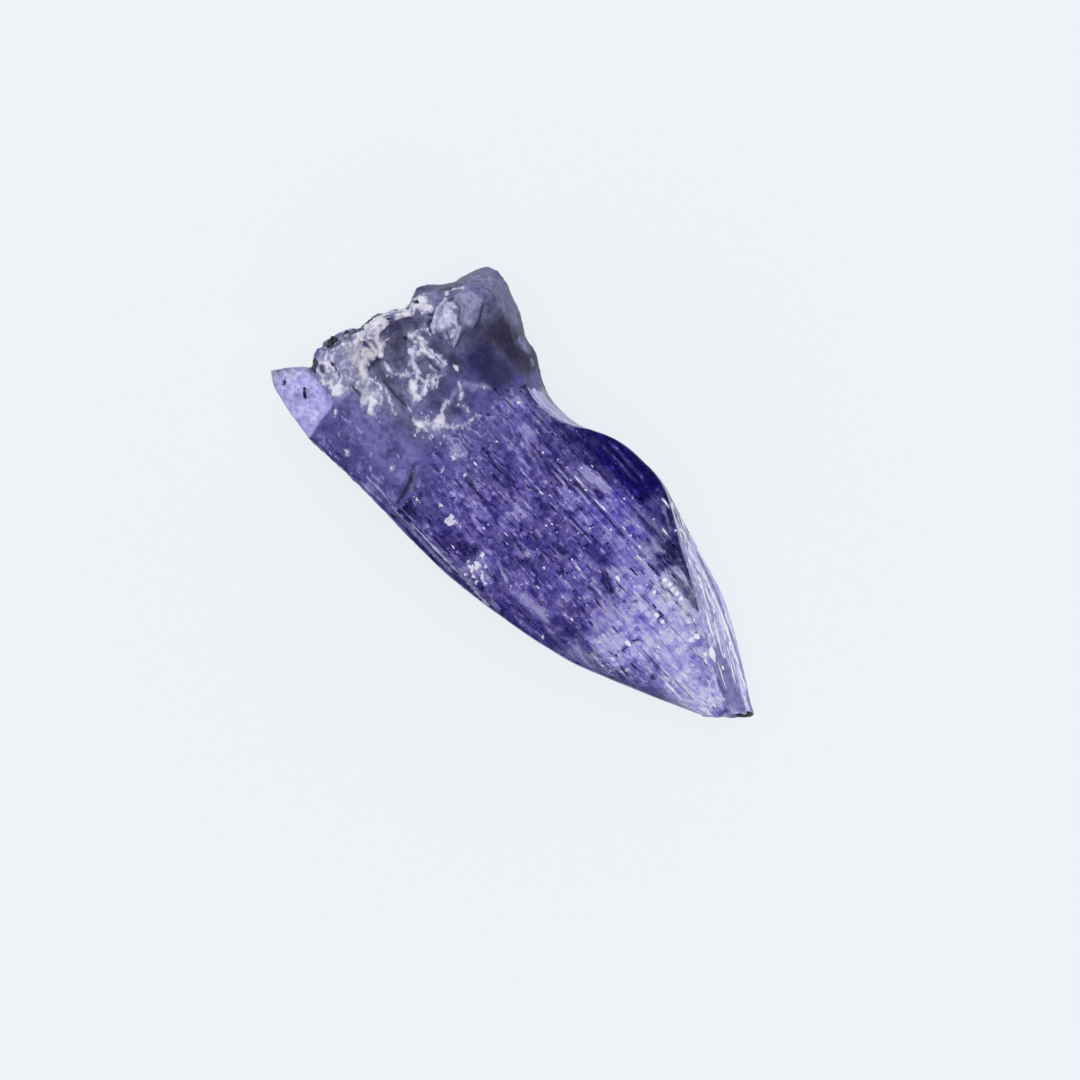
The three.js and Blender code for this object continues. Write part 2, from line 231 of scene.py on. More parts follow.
# Places of the front that are clearer and paler than their zone, and places that are deeper:
# centre x and y, half length, half width and share.
LIGHT_CELLS = [
    (0.0, 2.3, 0.45, 0.18, 1), (0.8, 2.4, 0.38, 0.16, 0.9), (1.6, 2.0, 0.34, 0.22, 0.8),
    (3.0, 2.7, 0.7, 0.3, 0.7), (3.95, 3.0, 0.5, 0.15, 0.9), (0.25, 0.95, 0.45, 0.36, 0.55),
    (2.9, 1.2, 0.5, 0.55, 0.45), (3.9, 1.05, 0.5, 0.6, 0.7), (-0.7, -0.85, 0.34, 0.18, 0.6),
    (-0.98, -1.65, 0.18, 0.28, 0.7), (0.6, -1.75, 0.38, 0.26, 0.5), (2.75, -0.65, 0.5, 0.38, 0.5),
    (2.9, -1.75, 0.55, 0.3, 0.5), (3.35, -2.85, 0.3, 0.18, 0.6), (-4.45, -1.4, 0.14, 0.16, 1),
    (2.3, -3.45, 0.8, 0.14, 0.8), (-3.1, 1.6, 0.5, 0.25, 0.35), (4.95, -1.6, 0.4, 0.6, 0.9),
    (-0.3, -3.9, 0.4, 0.65, 1), (0.3, -4.05, 0.35, 0.2, 0.8), (-2.55, -4.08, 0.26, 0.1, 0.8),
    (4.9, 0.6, 0.4, 0.5, 0.6), (-2.2, 0.55, 0.5, 0.2, 0.4), (1.5, 0.8, 0.4, 0.22, 0.4),
    (-2.0, -2.3, 0.5, 0.25, 0.3), (-3.3, -2.6, 0.4, 0.4, 0.3), (5.6, -2.6, 0.6, 0.35, 0.5),
    (-4.4, 2.0, 0.35, 0.3, 0.6)]
DARK_CELLS = [
    (-0.48, -0.13, 0.28, 0.28, 0.6), (-0.05, 0.0, 0.2, 0.22, 0.6), (0.73, -0.08, 0.28, 0.22, 0.8),
    (1.6, -0.78, 0.38, 0.16, 0.8), (1.12, -2.3, 0.28, 0.34, 0.7), (-0.1, -2.2, 0.33, 0.24, 0.7),
    (-1.0, 3.3, 0.55, 0.3, 0.6), (-0.88, -3.7, 0.28, 0.34, 0.8), (-1.5, -4.0, 1.0, 0.22, 0.7),
    (-3.8, -4.2, 0.7, 0.26, 0.6), (2.1, -2.9, 0.28, 0.14, 0.6), (-2.1, -0.38, 0.3, 0.16, 0.7),
    (-3.7, -0.3, 0.24, 0.14, 0.7), (-1.4, 1.2, 0.9, 0.12, 0.5), (0.0, 1.6, 0.9, 0.08, 0.6),
    (4.9, 2.7, 0.4, 0.3, 0.7), (3.0, 0.15, 0.3, 0.2, 0.5), (-2.3, 2.6, 0.8, 0.3, 0.3),
    (-2.9, -0.9, 0.5, 0.16, 0.4), (3.6, -2.3, 0.4, 0.14, 0.5), (-2.6, -1.85, 0.7, 0.14, 0.6),
    (0.6, -2.9, 0.5, 0.2, 0.4), (2.3, 1.55, 0.9, 0.1, 0.5), (6.7, 0.95, 0.1, 0.14, 0.35),
    (5.55, 0.75, 0.1, 0.6, 0.3), (8.0, -0.75, 0.5, 0.1, 0.3), (7.3, 0.8, 0.3, 0.1, 0.25),
    (9.6, -0.35, 0.5, 0.14, 0.3), (8.1, -1.3, 1.0, 0.1, 0.3), (10.3, 0.0, 0.3, 0.12, 0.3),
    (6.0, -0.55, 0.3, 0.14, 0.3)]
# Thin raised growth lines along the front, listed the same way. Where they shine they are painted silver:
# painted highlights on real raised lines.
SHINING = [
    (-3.34, -1.56, -2.74, -1.56, 0.04), (-3.9, -0.94, -3.4, -0.96, 0.05), (-1.0, 1.48, -0.45, 1.48, 0.04),
    (-1.14, 1.26, -0.34, 1.26, 0.035), (-0.34, 1.8, 0.46, 1.8, 0.04), (0.0, 1.48, 0.95, 1.47, 0.045),
    (1.0, 1.76, 3.0, 1.76, 0.035), (1.4, 1.25, 2.45, 1.24, 0.04), (3.05, 1.72, 4.3, 1.72, 0.045),
    (3.0, 2.4, 5.3, 2.4, 0.045), (2.2, 2.32, 2.9, 2.32, 0.06), (0.55, 2.5, 1.2, 2.48, 0.1),
    (-0.42, 2.38, 0.3, 2.38, 0.05), (-0.42, 2.12, 0.35, 2.12, 0.04), (2.95, 3.9, 3.5, 3.88, 0.06),
    (3.2, 3.7, 3.9, 3.4, 0.05), (4.0, 3.12, 4.4, 3.05, 0.06), (3.4, 2.86, 4.0, 2.84, 0.05),
    (3.9, 2.76, 4.4, 2.76, 0.05), (3.9, 3.3, 4.3, 3.2, 0.06), (4.0, 1.45, 4.6, 1.44, 0.06),
    (1.0, 0.36, 2.3, 0.36, 0.03), (3.55, 0.36, 4.1, 0.36, 0.03), (3.5, -0.82, 4.7, -0.82, 0.035),
    (-2.4, 0.6, -1.9, 0.58, 0.06), (-2.1, 0.28, -0.5, 0.28, 0.035), (-0.2, 0.28, 0.2, 0.28, 0.04),
    (5.5, 1.23, 7.0, 1.22, 0.04), (7.6, 1.4, 7.9, 1.3, 0.06), (8.6, -1.36, 10.1, -1.4, 0.045),
    (5.5, 0.3, 6.2, 0.3, 0.03), (5.5, 2.1, 6.3, 2.1, 0.05), (-9.0, -3.75, -7.6, -3.6, 0.04),
    (-5.2, -4.93, -1.0, -4.94, 0.07), (-5.0, -4.6, 1.7, -4.58, 0.035), (0.4, -3.25, 1.0, -3.4, 0.06),
    (4.9, -2.9, 5.9, -3.3, 0.05), (5.4, -2.5, 6.3, -2.9, 0.05), (-8.4, -5.2, -7.2, -4.94, 0.05),
    (-7.2, -4.94, -5.9, -4.68, 0.05), (-7.4, -5.06, -5.6, -4.95, 0.045), (2.0, -3.28, 3.4, -3.3, 0.13),
    (-5.0, 0.5, -5.7, -0.9, 0.08), (-5.75, -1.4, -5.5, -2.6, 0.06), (-4.9, 2.35, -4.2, 2.3, 0.08),
    (-4.8, 1.95, -4.3, 1.9, 0.06), (-5.3, -0.3, -4.98, 0.3, 0.07), (6.6, -0.6, 7.4, -0.62, 0.1)]
# Small grooves and growth lines of the same kind, strewn over the striated faces. A lane is where
# a mark lies across the striations: y itself on the front, and numbers from SIDE_LANES on round
# the sides. The underside has lanes of its own.
STREWN = 420
STREWN_GROOVES = STREWN * 3 // 5
STREWN_FROM, STREWN_OVER = -3.9, 14.1
FRONT_LOW, FRONT_OVER = -4.4, 8.4
SIDE_LANES, UNDERSIDE_LANES = 10, 40
GIRTH = 26
rng = np.random.default_rng(7)
spread = rng.random((STREWN, 5))
strewn_x = STREWN_FROM + STREWN_OVER * spread[:, 0] ** 1.1
strewn_length = 0.05 + 0.7 * spread[:, 2] ** 2.5
strewn_half = 0.022 + 0.04 * spread[:, 3] ** 2
on_front, on_sides = FRONT_LOW + FRONT_OVER * spread[:, 1], SIDE_LANES + GIRTH * spread[:, 1]
strewn_y = np.where(spread[:, 4] < 0.5, on_front, on_sides)
strewn = np.column_stack([strewn_x, strewn_y, strewn_x + strewn_length, strewn_y, strewn_half])
strewn_grooves, strewn_shining = strewn[:STREWN_GROOVES], strewn[STREWN_GROOVES:]

# How far the broken rim is drawn in: y, and the distance in mm.
BREAK_EDGE = [
    (-5.4, 0.0), (-4.7, -0.1), (-4.2, 0.18), (-3.8, 0.5), (-3.4, 0.9), (-3.0, 0.45), (-2.6, 0.23),
    (-2.2, 0.35), (-1.4, 0.3), (-1.0, 0.35), (-0.6, 0.55), (-0.2, 0.45), (0.2, 0.35), (0.6, 0.22),
    (1.0, 0.33), (1.4, 0.57), (1.8, 0.35), (2.2, 0.12), (2.6, 0.13), (3.0, 0.17), (3.8, 0.35), (4.2, 0.25),
    (5.0, 0.1)]
CRUST_RIB = [(-11.2, -0.3), (-10.3, -1), (-9.3, -1.9), (-8.3, -2.6)]
BREAK_RIM = [(-10.6, 2.4), (-11, 1.2), (-11.6, -1.2), (-11.7, -3)]
NECK_STEP = [(-5, 0.4), (-5.7, -1.2), (-5.3, -2.6), (-4.7, -4)]
CRACK = [(-5.4, -2.85), (-5.1, -3.35), (-4.86, -3.85), (-4.66, -4.55)]
UPPER_PLATE = [
    (-9.63, 3.31), (-9.44, 3.79), (-9.01, 4.08), (-8.65, 4.12), (-8.44, 3.7), (-8.15, 3.22), (-8.01, 2.98),
    (-8.25, 2.65), (-8.63, 2.74), (-9.01, 3.17), (-9.44, 3.12)]
LOWER_PLATE = [
    (-9.77, 3.03), (-9.39, 3.17), (-9.01, 3.12), (-8.63, 2.7), (-8.34, 2.55), (-8.25, 2.22), (-8.01, 1.93),
    (-8.15, 1.74), (-8.44, 1.79), (-8.72, 1.93), (-8.96, 1.65), (-9.15, 1.65), (-9.39, 1.98), (-9.68, 2.46)]
CRACK_SLIVER = [
    (-5.3, -2.78), (-5.1, -2.9), (-4.8, -3.3), (-4.55, -3.75), (-4.5, -3.85), (-4.7, -3.9), (-4.9, -3.5),
    (-5.15, -3.1)]
LILAC_BLOCK = [
    (-13.4, -3.2), (-11.9, -3.35), (-11.2, -3.45), (-10.6, -3.35), (-10.1, -3.5), (-9.75, -3.55),
    (-9.57, -3.85), (-9.5, -4.6), (-9.36, -5.0), (-9.2, -5.8), (-13.4, -5.8)]
SLIVER = [(-4.9, 2.75), (-3.9, 3.4), (-1.2, 3.5), (-2.2, 3.0), (-2.9, 2.65), (-3.9, 2.55)]
BLOCK_PITS = [(-11.08, -4.15, -10.8, -4.35, 0.11), (-11.9, -4.58, -11.84, -4.66, 0.09)]
GROOVE_DEPTH = 0.02
SHINING_RISE = 0.02
BLOCK_PIT_DEPTH = 0.16
# The lobe of the break and its hollows: height, centre and radii, in mm.
SWELLS = [
    (0.55, (-8.9, 4.4), (1.2, 0.9)), (-0.95, (-5.9, 3.5), (1.4, 0.9)), (-0.45, (-10.1, 0.3), (1, 0.8)),
    (-0.3, (-9.1, -1.1), (1, 0.35)), (-0.3, (-6.6, 1.2), (1.1, 1.3))]


def front_relief(x, y):
    """Height of the front above its even shape: the lobe, hollows, plates and ribs of the broken
    end, and two long low waves across the whole face."""
    wobble = 0.12 * noise(np.stack([x * 1.7, y * 1.7, 0 * x], -1), 5)
    xw, yw = x + wobble, y - wobble
    height = sum(rise * heap(x, y, centre, radii) for rise, centre, radii in SWELLS)
    height -= 0.35 * outlined(x, y, LILAC_BLOCK, 0.3)
    height += 0.14 * outlined(x, y, UPPER_PLATE, 0.2)
    height += 0.26 * outlined(x, y, LOWER_PLATE, 0.14)
    height += 0.3 * beside(xw, yw, CRUST_RIB, 0.4)
    height += 0.25 * beside(xw, yw, BREAK_RIM, 0.45)
    height -= 0.14 * beside(xw, yw, NECK_STEP, 0.22)
    height -= 0.16 * beside(xw, y, CRACK, 0.07)
    height -= BLOCK_PIT_DEPTH * strokes(x, y, BLOCK_PITS)
    return height + 0.02 * np.sin(2 * np.pi * (y - 0.2) / 0.87) + 0.04 * np.sin(2 * np.pi * (y - 0.9) / 2.3)


def growth_steps(across, x):
    """Striations: noise stretched along the crystal, squared up into little terraces."""
    broad = noise(np.stack([x * 0.16, across * 2.4, 0 * x], -1), 21)
    fine = noise(np.stack([x * 0.3, across * 7.5, 0 * x], -1), 22)
    return np.tanh(3.2 * broad) * 0.55 + np.tanh(3 * fine) * 0.45


def fracture(p, seed):
    """Broken surface, -1 to 1: folded noise, whose creases stand up as sharp edges."""
    return 1 - 2 * np.abs(fractal(p * np.array([0.9, 0.7, 0.9]), seed, 4)) ** 0.8


shares = np.linspace(0, 1, RINGS + 1)
shares = shares * (1 - RING_CROWDING + RING_CROWDING * shares)
strips, fronts, girth, face_of = [], [], [], []
reach = 0.0
for number, (face, start, end, steps, swell) in enumerate(FACES):
    a, b = ridge_at(start, shares)[:, None, :], ridge_at(end, shares)[:, None, :]
    t = (np.arange(steps) / steps)[None, :, None]
    outward = np.stack([0 * a[..., 0], b[..., 2] - a[..., 2], a[..., 1] - b[..., 1]], -1)
    outward /= np.linalg.norm(outward, axis=-1, keepdims=True)
    strips.append(a + (b - a) * t + swell * 4 * t * (1 - t) * outward)
    fronts.append({"front": 1 + 0 * t, "lower_side": 1 - t, "flange": t}.get(face, 0 * t)[0, :, 0])
    width = np.linalg.norm((b - a)[RINGS // 2, 0])
    girth.append(reach + width * t[0, :, 0])
    face_of.append(np.full(steps, number))
    reach += width
skin = np.concatenate(strips, 1)
frontness = np.concatenate(fronts)[None, :]
girth = np.concatenate(girth)[None, :]
face_of = np.concatenate(face_of)[None, :]
AROUND = skin.shape[1]

x, y = skin[..., 0], skin[..., 1]
centre = np.mean([ridge_at(name, shares) for name in RIDGES], 0)[:, None, :]
radial = skin - centre
radial[..., 0] = 0
radial /= np.linalg.norm(radial, axis=-1, keepdims=True)
broken = 1 - step(x + 0.35 * y, -8.8, -4.6)
dull = 1 - step(x + 0.2 * y, -5.8, -2.2)

lane = np.where(face_of == UNDERSIDE, UNDERSIDE_LANES + y, SIDE_LANES + girth)
lane = np.where(face_of == FRONT, y, lane)
grooves = np.maximum(strokes(x, y, GROOVES) * (face_of == FRONT), 0.75 * strokes(x, lane, strewn_grooves))
shining = np.maximum(strokes(x, y, SHINING) * (face_of == FRONT), 0.7 * strokes(x, lane, strewn_shining))
broken = broken * (1 - 0.8 * outlined(x, y, LILAC_BLOCK, 0.3))
rough = 0.03 * fractal(skin * 0.9, 1) + broken * (0.1 * fracture(skin, 2) + 0.07 * fractal(skin * 3.1, 3))
crushed = (face_of == FLANGE) * (1 - step(x, -5.0, -3.2))
rough += (1 - 0.85 * dull) * (1 - 0.9 * crushed) * 0.022 * growth_steps(lane, x)
rough += 0.05 * crushed * fracture(skin * 1.6, 6)
rough += 0.014 * fractal(skin * np.array([2.5, 6, 6]), 4, 3)
rough += SHINING_RISE * shining
skin = skin + radial * rough[..., None]
skin[..., 2] += frontness * front_relief(x, y)
skin -= radial * (GROOVE_DEPTH * grooves)[..., None]


def end_face(rim, outward, rings, dome, uneven, seed):
    """A fracture face: the rim drawn in to its middle, standing out by a dome and broken relief."""
    middle = rim.mean(0)
    inward = (np.arange(1, rings + 1) / rings)[:, None, None]
    face = rim[None] * (1 - inward) + middle * inward
    relief = dome * (1 - (1 - inward[..., 0]) ** 2)
    relief = relief + uneven * np.minimum(1, 2.5 * inward[..., 0]) * (fracture(face, seed) - 0.2)
    face[..., 0] += outward * relief
    return face


broken_face = end_face(skin[0], -1, BREAK_RINGS, dome=0.3, uneven=0.45, seed=11)
chip_face = end_face(skin[-1], 1, CHIP_RINGS, dome=0.1, uneven=0.09, seed=12)
rows = np.concatenate([broken_face[-2::-1], skin, chip_face[:-1]])
rows[..., 2] = np.maximum(rows[..., 2], 0)
poles = np.stack([broken_face[-1].mean(0), chip_face[-1].mean(0)])
FIRST_BODY_ROW = BREAK_RINGS - 1
DRAWN_SHARE = 0.06
drawn_in = np.concatenate([np.ones(FIRST_BODY_ROW), np.exp(-shares / DRAWN_SHARE), np.zeros(CHIP_RINGS - 1)])
edge_y, edge_shift = np.array(BREAK_EDGE).T
rows[..., 0] += drawn_in[:, None] * np.interp(rows[..., 1], edge_y, edge_shift)
poles[0, 0] += np.interp(poles[0, 1], edge_y, edge_shift)

# The loft is centred in its box, as the solid is.
every = np.concatenate([rows.reshape(-1, 3), poles])
low, high = np.array(cad_box[0]) / MM, np.array(cad_box[1]) / MM
shift = (low + high) / 2 - (every.min(0) + every.max(0)) / 2
shift[2] = low[2] - every[:, 2].min()
rows, poles = rows + shift, poles + shift


def over_ends(values, first, last):
    """A value per skin point, carried over both end faces as plain numbers."""
    before = np.full((FIRST_BODY_ROW, AROUND), float(first))
    after = np.full((CHIP_RINGS - 1, AROUND), float(last))
    return np.concatenate([before, values * np.ones((RINGS + 1, AROUND)), after])


rows_face = over_ends(face_of, -1, -1)
rows_front = over_ends(frontness, 0, 0)
rows_grooves = over_ends(grooves, 0, 0)
rows_shining = over_ends(shining, 0, 0)
rows_broken = over_ends(broken, 1, 0.3)
rows_dull = over_ends(dull, 1, 0)
rows_lane = over_ends(lane, 0, 0)
across = np.concatenate([np.arange(steps) / steps for _, _, _, steps, _ in FACES])[None, :]
rows_across = over_ends(across, 0, 0)
# How far a point of the front is from its lower and its upper rim; every other point is FAR.
FAR = 9
front_chord = ridge_at("front_lower", shares) - ridge_at("front_upper", shares)
front_width = np.linalg.norm(front_chord, axis=1)[:, None]
rows_low_rim = over_ends(np.where(face_of == FRONT, (1 - across) * front_width, FAR), FAR, FAR)
rows_top_rim = over_ends(np.where(face_of == FRONT, across * front_width, FAR), FAR, FAR)
FLANGE_WIDTH = 2.4
past_edge = girth - girth[0, face_of[0] == FLANGE][0]
rows_flange = np.clip(over_ends(past_edge / FLANGE_WIDTH, 0, 0), 0, 1)

# Colour zones, from the broken end to the tip.
BODY = (0.138, 0.107, 0.355)
BODY_LEFT = (0.34, 0.31, 0.72)
NECK_STONE = (0.27, 0.25, 0.47)
PALE = (0.56, 0.505, 1.0)
PALE_LOW = (0.48, 0.44, 0.98)
PERIWINKLE = (0.135, 0.10, 0.76)
INDIGO = (0.0014, 0.0008, 0.058)
BREAK_GREY = (0.22, 0.21, 0.38)
RECESS_SHADE = (0.008, 0.006, 0.022)
NAVY = (0.0015, 0.0008, 0.03)
LOBE = (0.27, 0.26, 0.47)
PLATE = (0.62, 0.60, 0.85)
BRIGHT_PLATE = (0.96, 0.95, 1.0)
LILAC = (0.90, 0.87, 1.0)
FROST = (0.66, 0.64, 0.88)
BEVEL = (0.88, 0.87, 1.0)
TIP_FACET = (0.10, 0.09, 0.32)
TIP_EDGE = (0.12, 0.09, 0.42)
CHIP = (0.12, 0.10, 0.36)
SIDE_BAND = (0.10, 0.08, 0.36)
PIT_AND_CRACK_SHADE = (0.004, 0.003, 0.01)
DEEP = (0.001, 0.0006, 0.035)
SILVER = (0.94, 0.92, 1.0)
LIGHT_CELL = (0.52, 0.455, 1.0)
DARK_CELL = (0.012, 0.008, 0.08)
# How much of red, green and blue a deeper place loses.
LOSS = (0.85, 0.92, 0.36)
TIP_FACE = [
    (9.0, 1.6), (10.0, 1.35), (11.0, 0.95), (12.4, 0.42), (12.25, 0.0), (11.6, -0.15), (11.2, -0.1),
    (10.5, 0.25), (9.8, 0.7), (9.2, 1.1)]
DARK_WEDGE = [(5.4, 2.8), (6.0, 2.62), (6.6, 2.38), (7.1, 2.08), (7.6, 1.76)]
TIP_LINE = [(9.0, 1.2), (9.8, 0.72), (10.5, 0.32), (11.5, -0.08)]
TOP_RIM_SHADE = [(-0.3, 3.93, 1.7, 3.9, 0.07)]


def lay(tint, colour, mask):
    """Mixes a colour over the tint by a mask of 0 to 1."""
    return tint + (np.array(colour) - tint) * np.clip(mask, 0, 1)[..., None]


def lay_all(tint, layers):
    """Mixes colours over the tint one after the other, each by its own mask."""
    for colour, mask in layers:
        tint = lay(tint, colour, mask)
    return tint


def tint_of(p):
    """Colour of the crystal over its skin, laid zone by zone with ragged edges."""
    ragged = 0.35 * fractal(p * 1.3, 31)
    fine = 0.12 * fractal(p * 5.0, 32)
    x, y = p[..., 0] + ragged + fine, p[..., 1] + 0.6 * ragged + fine
    xs, ys = p[..., 0] + 0.25 * fine, p[..., 1] + 0.25 * fine
    front = np.clip(rows_front, 0, 1)
    bevel = rows_face == FLANGE
    pale = step(x, 4.6, 5.6)
    pale = np.maximum(pale, 0.85 * step(x, 3.4, 4.4) * step(ys, -0.1, 0.25) * (1 - step(ys, 1.4, 1.6)))
    pale = np.maximum(pale, 0.55 * step(x, 3.2, 4.0) * step(ys, 1.5, 1.7) * (1 - step(y, 2.8, 3.3)))
    edge_low = step(p[..., 0], 6.2, 9.0) * (1 - step(y + 0.42 * (p[..., 0] - 9.5), -1.9, -1.0))
    grey = (1 - step(x + 0.35 * y, -6.8, -4.6)) * step(y, -2.9, -1.7)
    side = (rows_face == LOWER_SIDE) * step(p[..., 0], -9.4, -9.2) * (1 - step(x + 2 * ragged, 1.0, 6.0))
    below = step(p[..., 0], -9.4, -9.1) * (1 - step(p[..., 0], 9.0, 11.0))
    above = step(p[..., 0], -2.2, -1.0) * (1 - step(p[..., 0], 3.4, 4.2))
    rim = np.maximum(beside(xs, ys, DARK_WEDGE, 0.05), 0.8 * beside(xs, ys, TIP_LINE, 0.07))
    return lay_all(np.ones(p.shape) * np.array(BODY), [
        (BODY_LEFT, 1 - step(x, -7.5, -4.5)),
        (PERIWINKLE, 0.75 * patch(x, y, (3.0, 2.1), (2.4, 1.5), 0, 1.0) * front),
        (INDIGO, 0.55 * patch(x, y, (-0.6, 2.6), (2.6, 1.4), 0, 0.9) * front),
        (INDIGO, patch(xs, ys, (0.7, 3.65), (2.1, 0.85), 0, 0.35)),
        (INDIGO, bevel * patch(x, ys, (0.6, 4.0), (3.4, 0.9), 0, 0.6)),
        (INDIGO, 0.5 * patch(x, ys, (-1.7, -4.95), (4.2, 0.5), 0, 0.2) * front),
        (PALE_LOW, 0.45 * patch(x, y, (-7.6, -4.3), (2.0, 0.9), 0, 0.6)),
        (NECK_STONE, 0.9 * patch(x, y, (-4.3, 0.6), (2.0, 2.7), 0, 1.0) * front),
        (PALE, pale),
        (PALE_LOW, pale * (1 - step(y, -2.2, -0.8))),
        (NAVY, 0.65 * patch(xs, ys, (4.93, 2.15), (0.5, 0.65), 0, 0.2) * front),
        (INDIGO, 0.6 * patch(x, ys, (3.95, -0.4), (0.55, 0.35), -10, 0.3) * front),
        (LIGHT_CELL, boxes(xs + 0.7 * fine, ys + 0.5 * fine, LIGHT_CELLS, 0.14) * front),
        (DARK_CELL, boxes(xs - 0.7 * fine, ys - 0.5 * fine, DARK_CELLS, 0.12) * front),
        (SILVER, 0.45 * heap(x, y, (-0.15, -4.0), (0.4, 0.45)) * front),
        (TIP_EDGE, edge_low),
        (TIP_EDGE, 0.6 * patch(xs, ys, (9.1, -1.75), (1.0, 0.3), 20, 0.3) * front),
        (CHIP, 0.9 * step(x - 0.6 * y, 11.2, 11.9)),
        (BEVEL, bevel * step(p[..., 0], 2.6, 4.5)),
        (TIP_FACET, outlined(xs, ys, TIP_FACE, 0.12)),
        (BREAK_GREY, grey),
        (NAVY, patch(x, y, (-6.3, 2.5), (1.7, 1.2), 0, 0.7) * front),
        # Painted shade in the recess under the flange and in the hollows of the break.
        (RECESS_SHADE, patch(x, y, (-6.1, 3.6), (2.1, 1.3), -18, 0.45)),
        (RECESS_SHADE, 0.8 * patch(x, y, (-9.9, 0.2), (1.1, 0.9), 0, 0.5) * front),
        (RECESS_SHADE, 0.6 * patch(x, y, (-9.2, -1.2), (1.2, 0.45), -10, 0.3) * front),
        (LOBE, patch(x, y, (-8.9, 4.9), (1.7, 0.95), -5, 0.4)),
        (PLATE, outlined(xs, ys, UPPER_PLATE, 0.12) * front),
        (BRIGHT_PLATE, outlined(xs, ys, LOWER_PLATE, 0.12) * front),
        (FROST, patch(x, y, (-10.9, -2.2), (1.3, 1.3), 0, 0.3)),
        (LILAC, outlined(xs, ys, LILAC_BLOCK, 0.1)),
        (BEVEL, bevel * outlined(xs, ys, SLIVER, 0.15)),
        (FROST, 0.8 * outlined(xs, ys, CRACK_SLIVER, 0.06)),
        (SIDE_BAND, 0.85 * side),
        # Painted shade: dark lines along the top and lower rims of the front and along its ridges near the
        # tip.
        (SIDE_BAND, 0.9 * strokes(xs, ys, TOP_RIM_SHADE) * (rows_front > 0)),
        (INDIGO, 0.8 * below * (1 - step(rows_low_rim + 0.3 * fine, 0.04, 0.12))),
        (INDIGO, 0.95 * above * (1 - step(rows_top_rim + 0.5 * fine, 0.12, 0.4))),
        (NAVY, 0.85 * rim * (rows_front > 0))])


def blocky(p):
    """The same place, drawn towards its lattice points, so that noise there falls into blocks."""
    return np.floor(p) + step(p - np.floor(p), 0.15, 0.85)


def depth_of(p):
    """How much deeper than its zone a place looks, -1 to 1.6: clouds, blocks and lines drawn
    out along x, the blocks and lines only where the crystal is not broken."""
    drawn = np.stack([p[..., 0], rows_lane, 0.3 * p[..., 2]], -1)
    even = 1 - 0.9 * rows_dull
    deep = (0.5 + 0.4 * rows_broken) * fractal(drawn * np.array([0.8, 1.2, 1.2]), 41, 3)
    deep += (0.3 + 0.5 * even) * fractal(drawn * np.array([2.6, 3.6, 3.6]), 45, 3)
    deep += even * 0.55 * noise(blocky(drawn * np.array([1.6, 4.2, 4.2])), 48)
    deep += even * 0.45 * noise(blocky(drawn * np.array([4.4, 2.6, 2.6])), 49)
    deep += even * 0.55 * noise(drawn * np.array([0.5, 9.0, 9.0]), 51) * (0.6 + noise(drawn * 0.7, 52))
    return np.clip(deep, -1, 1.6)


# A deeper place absorbs more of every colour, and more red and green than blue.
tint = tint_of(rows)
palest = step(tint[..., 0], 0.3, 0.8)
tint = tint * np.exp(-np.array(LOSS) * (depth_of(rows) * (1 - 0.35 * palest))[..., None])
tint = np.clip(tint, 0, 1)
along_flange = np.stack([rows[..., 0] * 0.5, rows_flange * 11, 0 * rows_flange], -1)
streaks = noise(along_flange, 61) + 0.6 * noise(along_flange * np.array([2.2, 2.1, 1]), 62)
bevel_here = (rows_face == FLANGE) * step(rows[..., 0], 3.5, 5.5)
bevel_here = bevel_here * (1 - 0.8 * outlined(rows[..., 0], rows[..., 1], TIP_FACE, 0.2))
banded = noise(np.stack([rows[..., 0] * 0.35, rows_lane * 7, 0 * rows_lane], -1), 63)
side_here = (rows_face == LOWER_SIDE) * (1 - step(rows[..., 0], 0.0, 7.0))
tint = lay_all(tint, [
    # The bevel is streaked silver and darker: painted glints on its growth steps.
    (SILVER, bevel_here * step(streaks, 0.3, 0.6)),
    (TIP_FACET, 0.5 * bevel_here * step(-streaks, 0.5, 0.9)),
    (FROST, side_here * step(banded, 0.35, 0.6)),
    (DEEP, 0.8 * side_here * step(-banded, 0.3, 0.6)),
    # Grooves darkened: painted shade in them.
    (DEEP, rows_grooves * 0.95),
    # Painted highlights along the shining growth lines.
    (SILVER, rows_shining * 0.8 * (1 - rows_grooves)),
    # Painted shade in the pits of the corner block and along the crack.
    (PIT_AND_CRACK_SHADE, strokes(rows[..., 0], rows[..., 1], BLOCK_PITS)),
    (PIT_AND_CRACK_SHADE, 0.7 * beside(rows[..., 0], rows[..., 1], CRACK, 0.07) * rows_front)])


def add_node(tree, kind, settings=None, **inputs):
    """A shader node; inputs name its sockets, and each is a value or another node's output."""
    made = tree.nodes.new("ShaderNode" + kind)
    for key, value in (settings or {}).items():
        setattr(made, key, value)
    for key, value in inputs.items():
        socket = made.inputs[int(key[1:])] if key[0] == "_" else made.inputs[key.replace("_", " ")]
        if isinstance(value, bpy.types.NodeSocket):
            tree.links.new(value, socket)
        else:
            socket.default_value = value
    return made


def new_material(name):
    """An empty node material: the material, its tree and its Principled surface."""
    made = bpy.data.materials.new(name)
    made.use_nodes = True
    return made, made.node_tree, made.node_tree.nodes["Principled BSDF"]


def ranged(tree, value, low, high, to_low=0.0, to_high=1.0):
    """A value carried smoothly from one range to another: a Map Range node's output."""
    made = add_node(tree, "MapRange", {"interpolation_type": "SMOOTHSTEP"}, Value=value,
                    From_Min=low, From_Max=high, To_Min=to_low, To_Max=to_high)
    return made.outputs["Result"]


def maths(tree, operation, a, b):
    """A Math node's output."""
    return add_node(tree, "Math", {"operation": operation}, _0=a, _1=b).outputs[0]


def lessened(tree, value, other, share):
    """A value times 1 - share * other."""
    return maths(tree, "MULTIPLY", value, maths(tree, "SUBTRACT", 1.0, maths(tree, "MULTIPLY", other, share)))


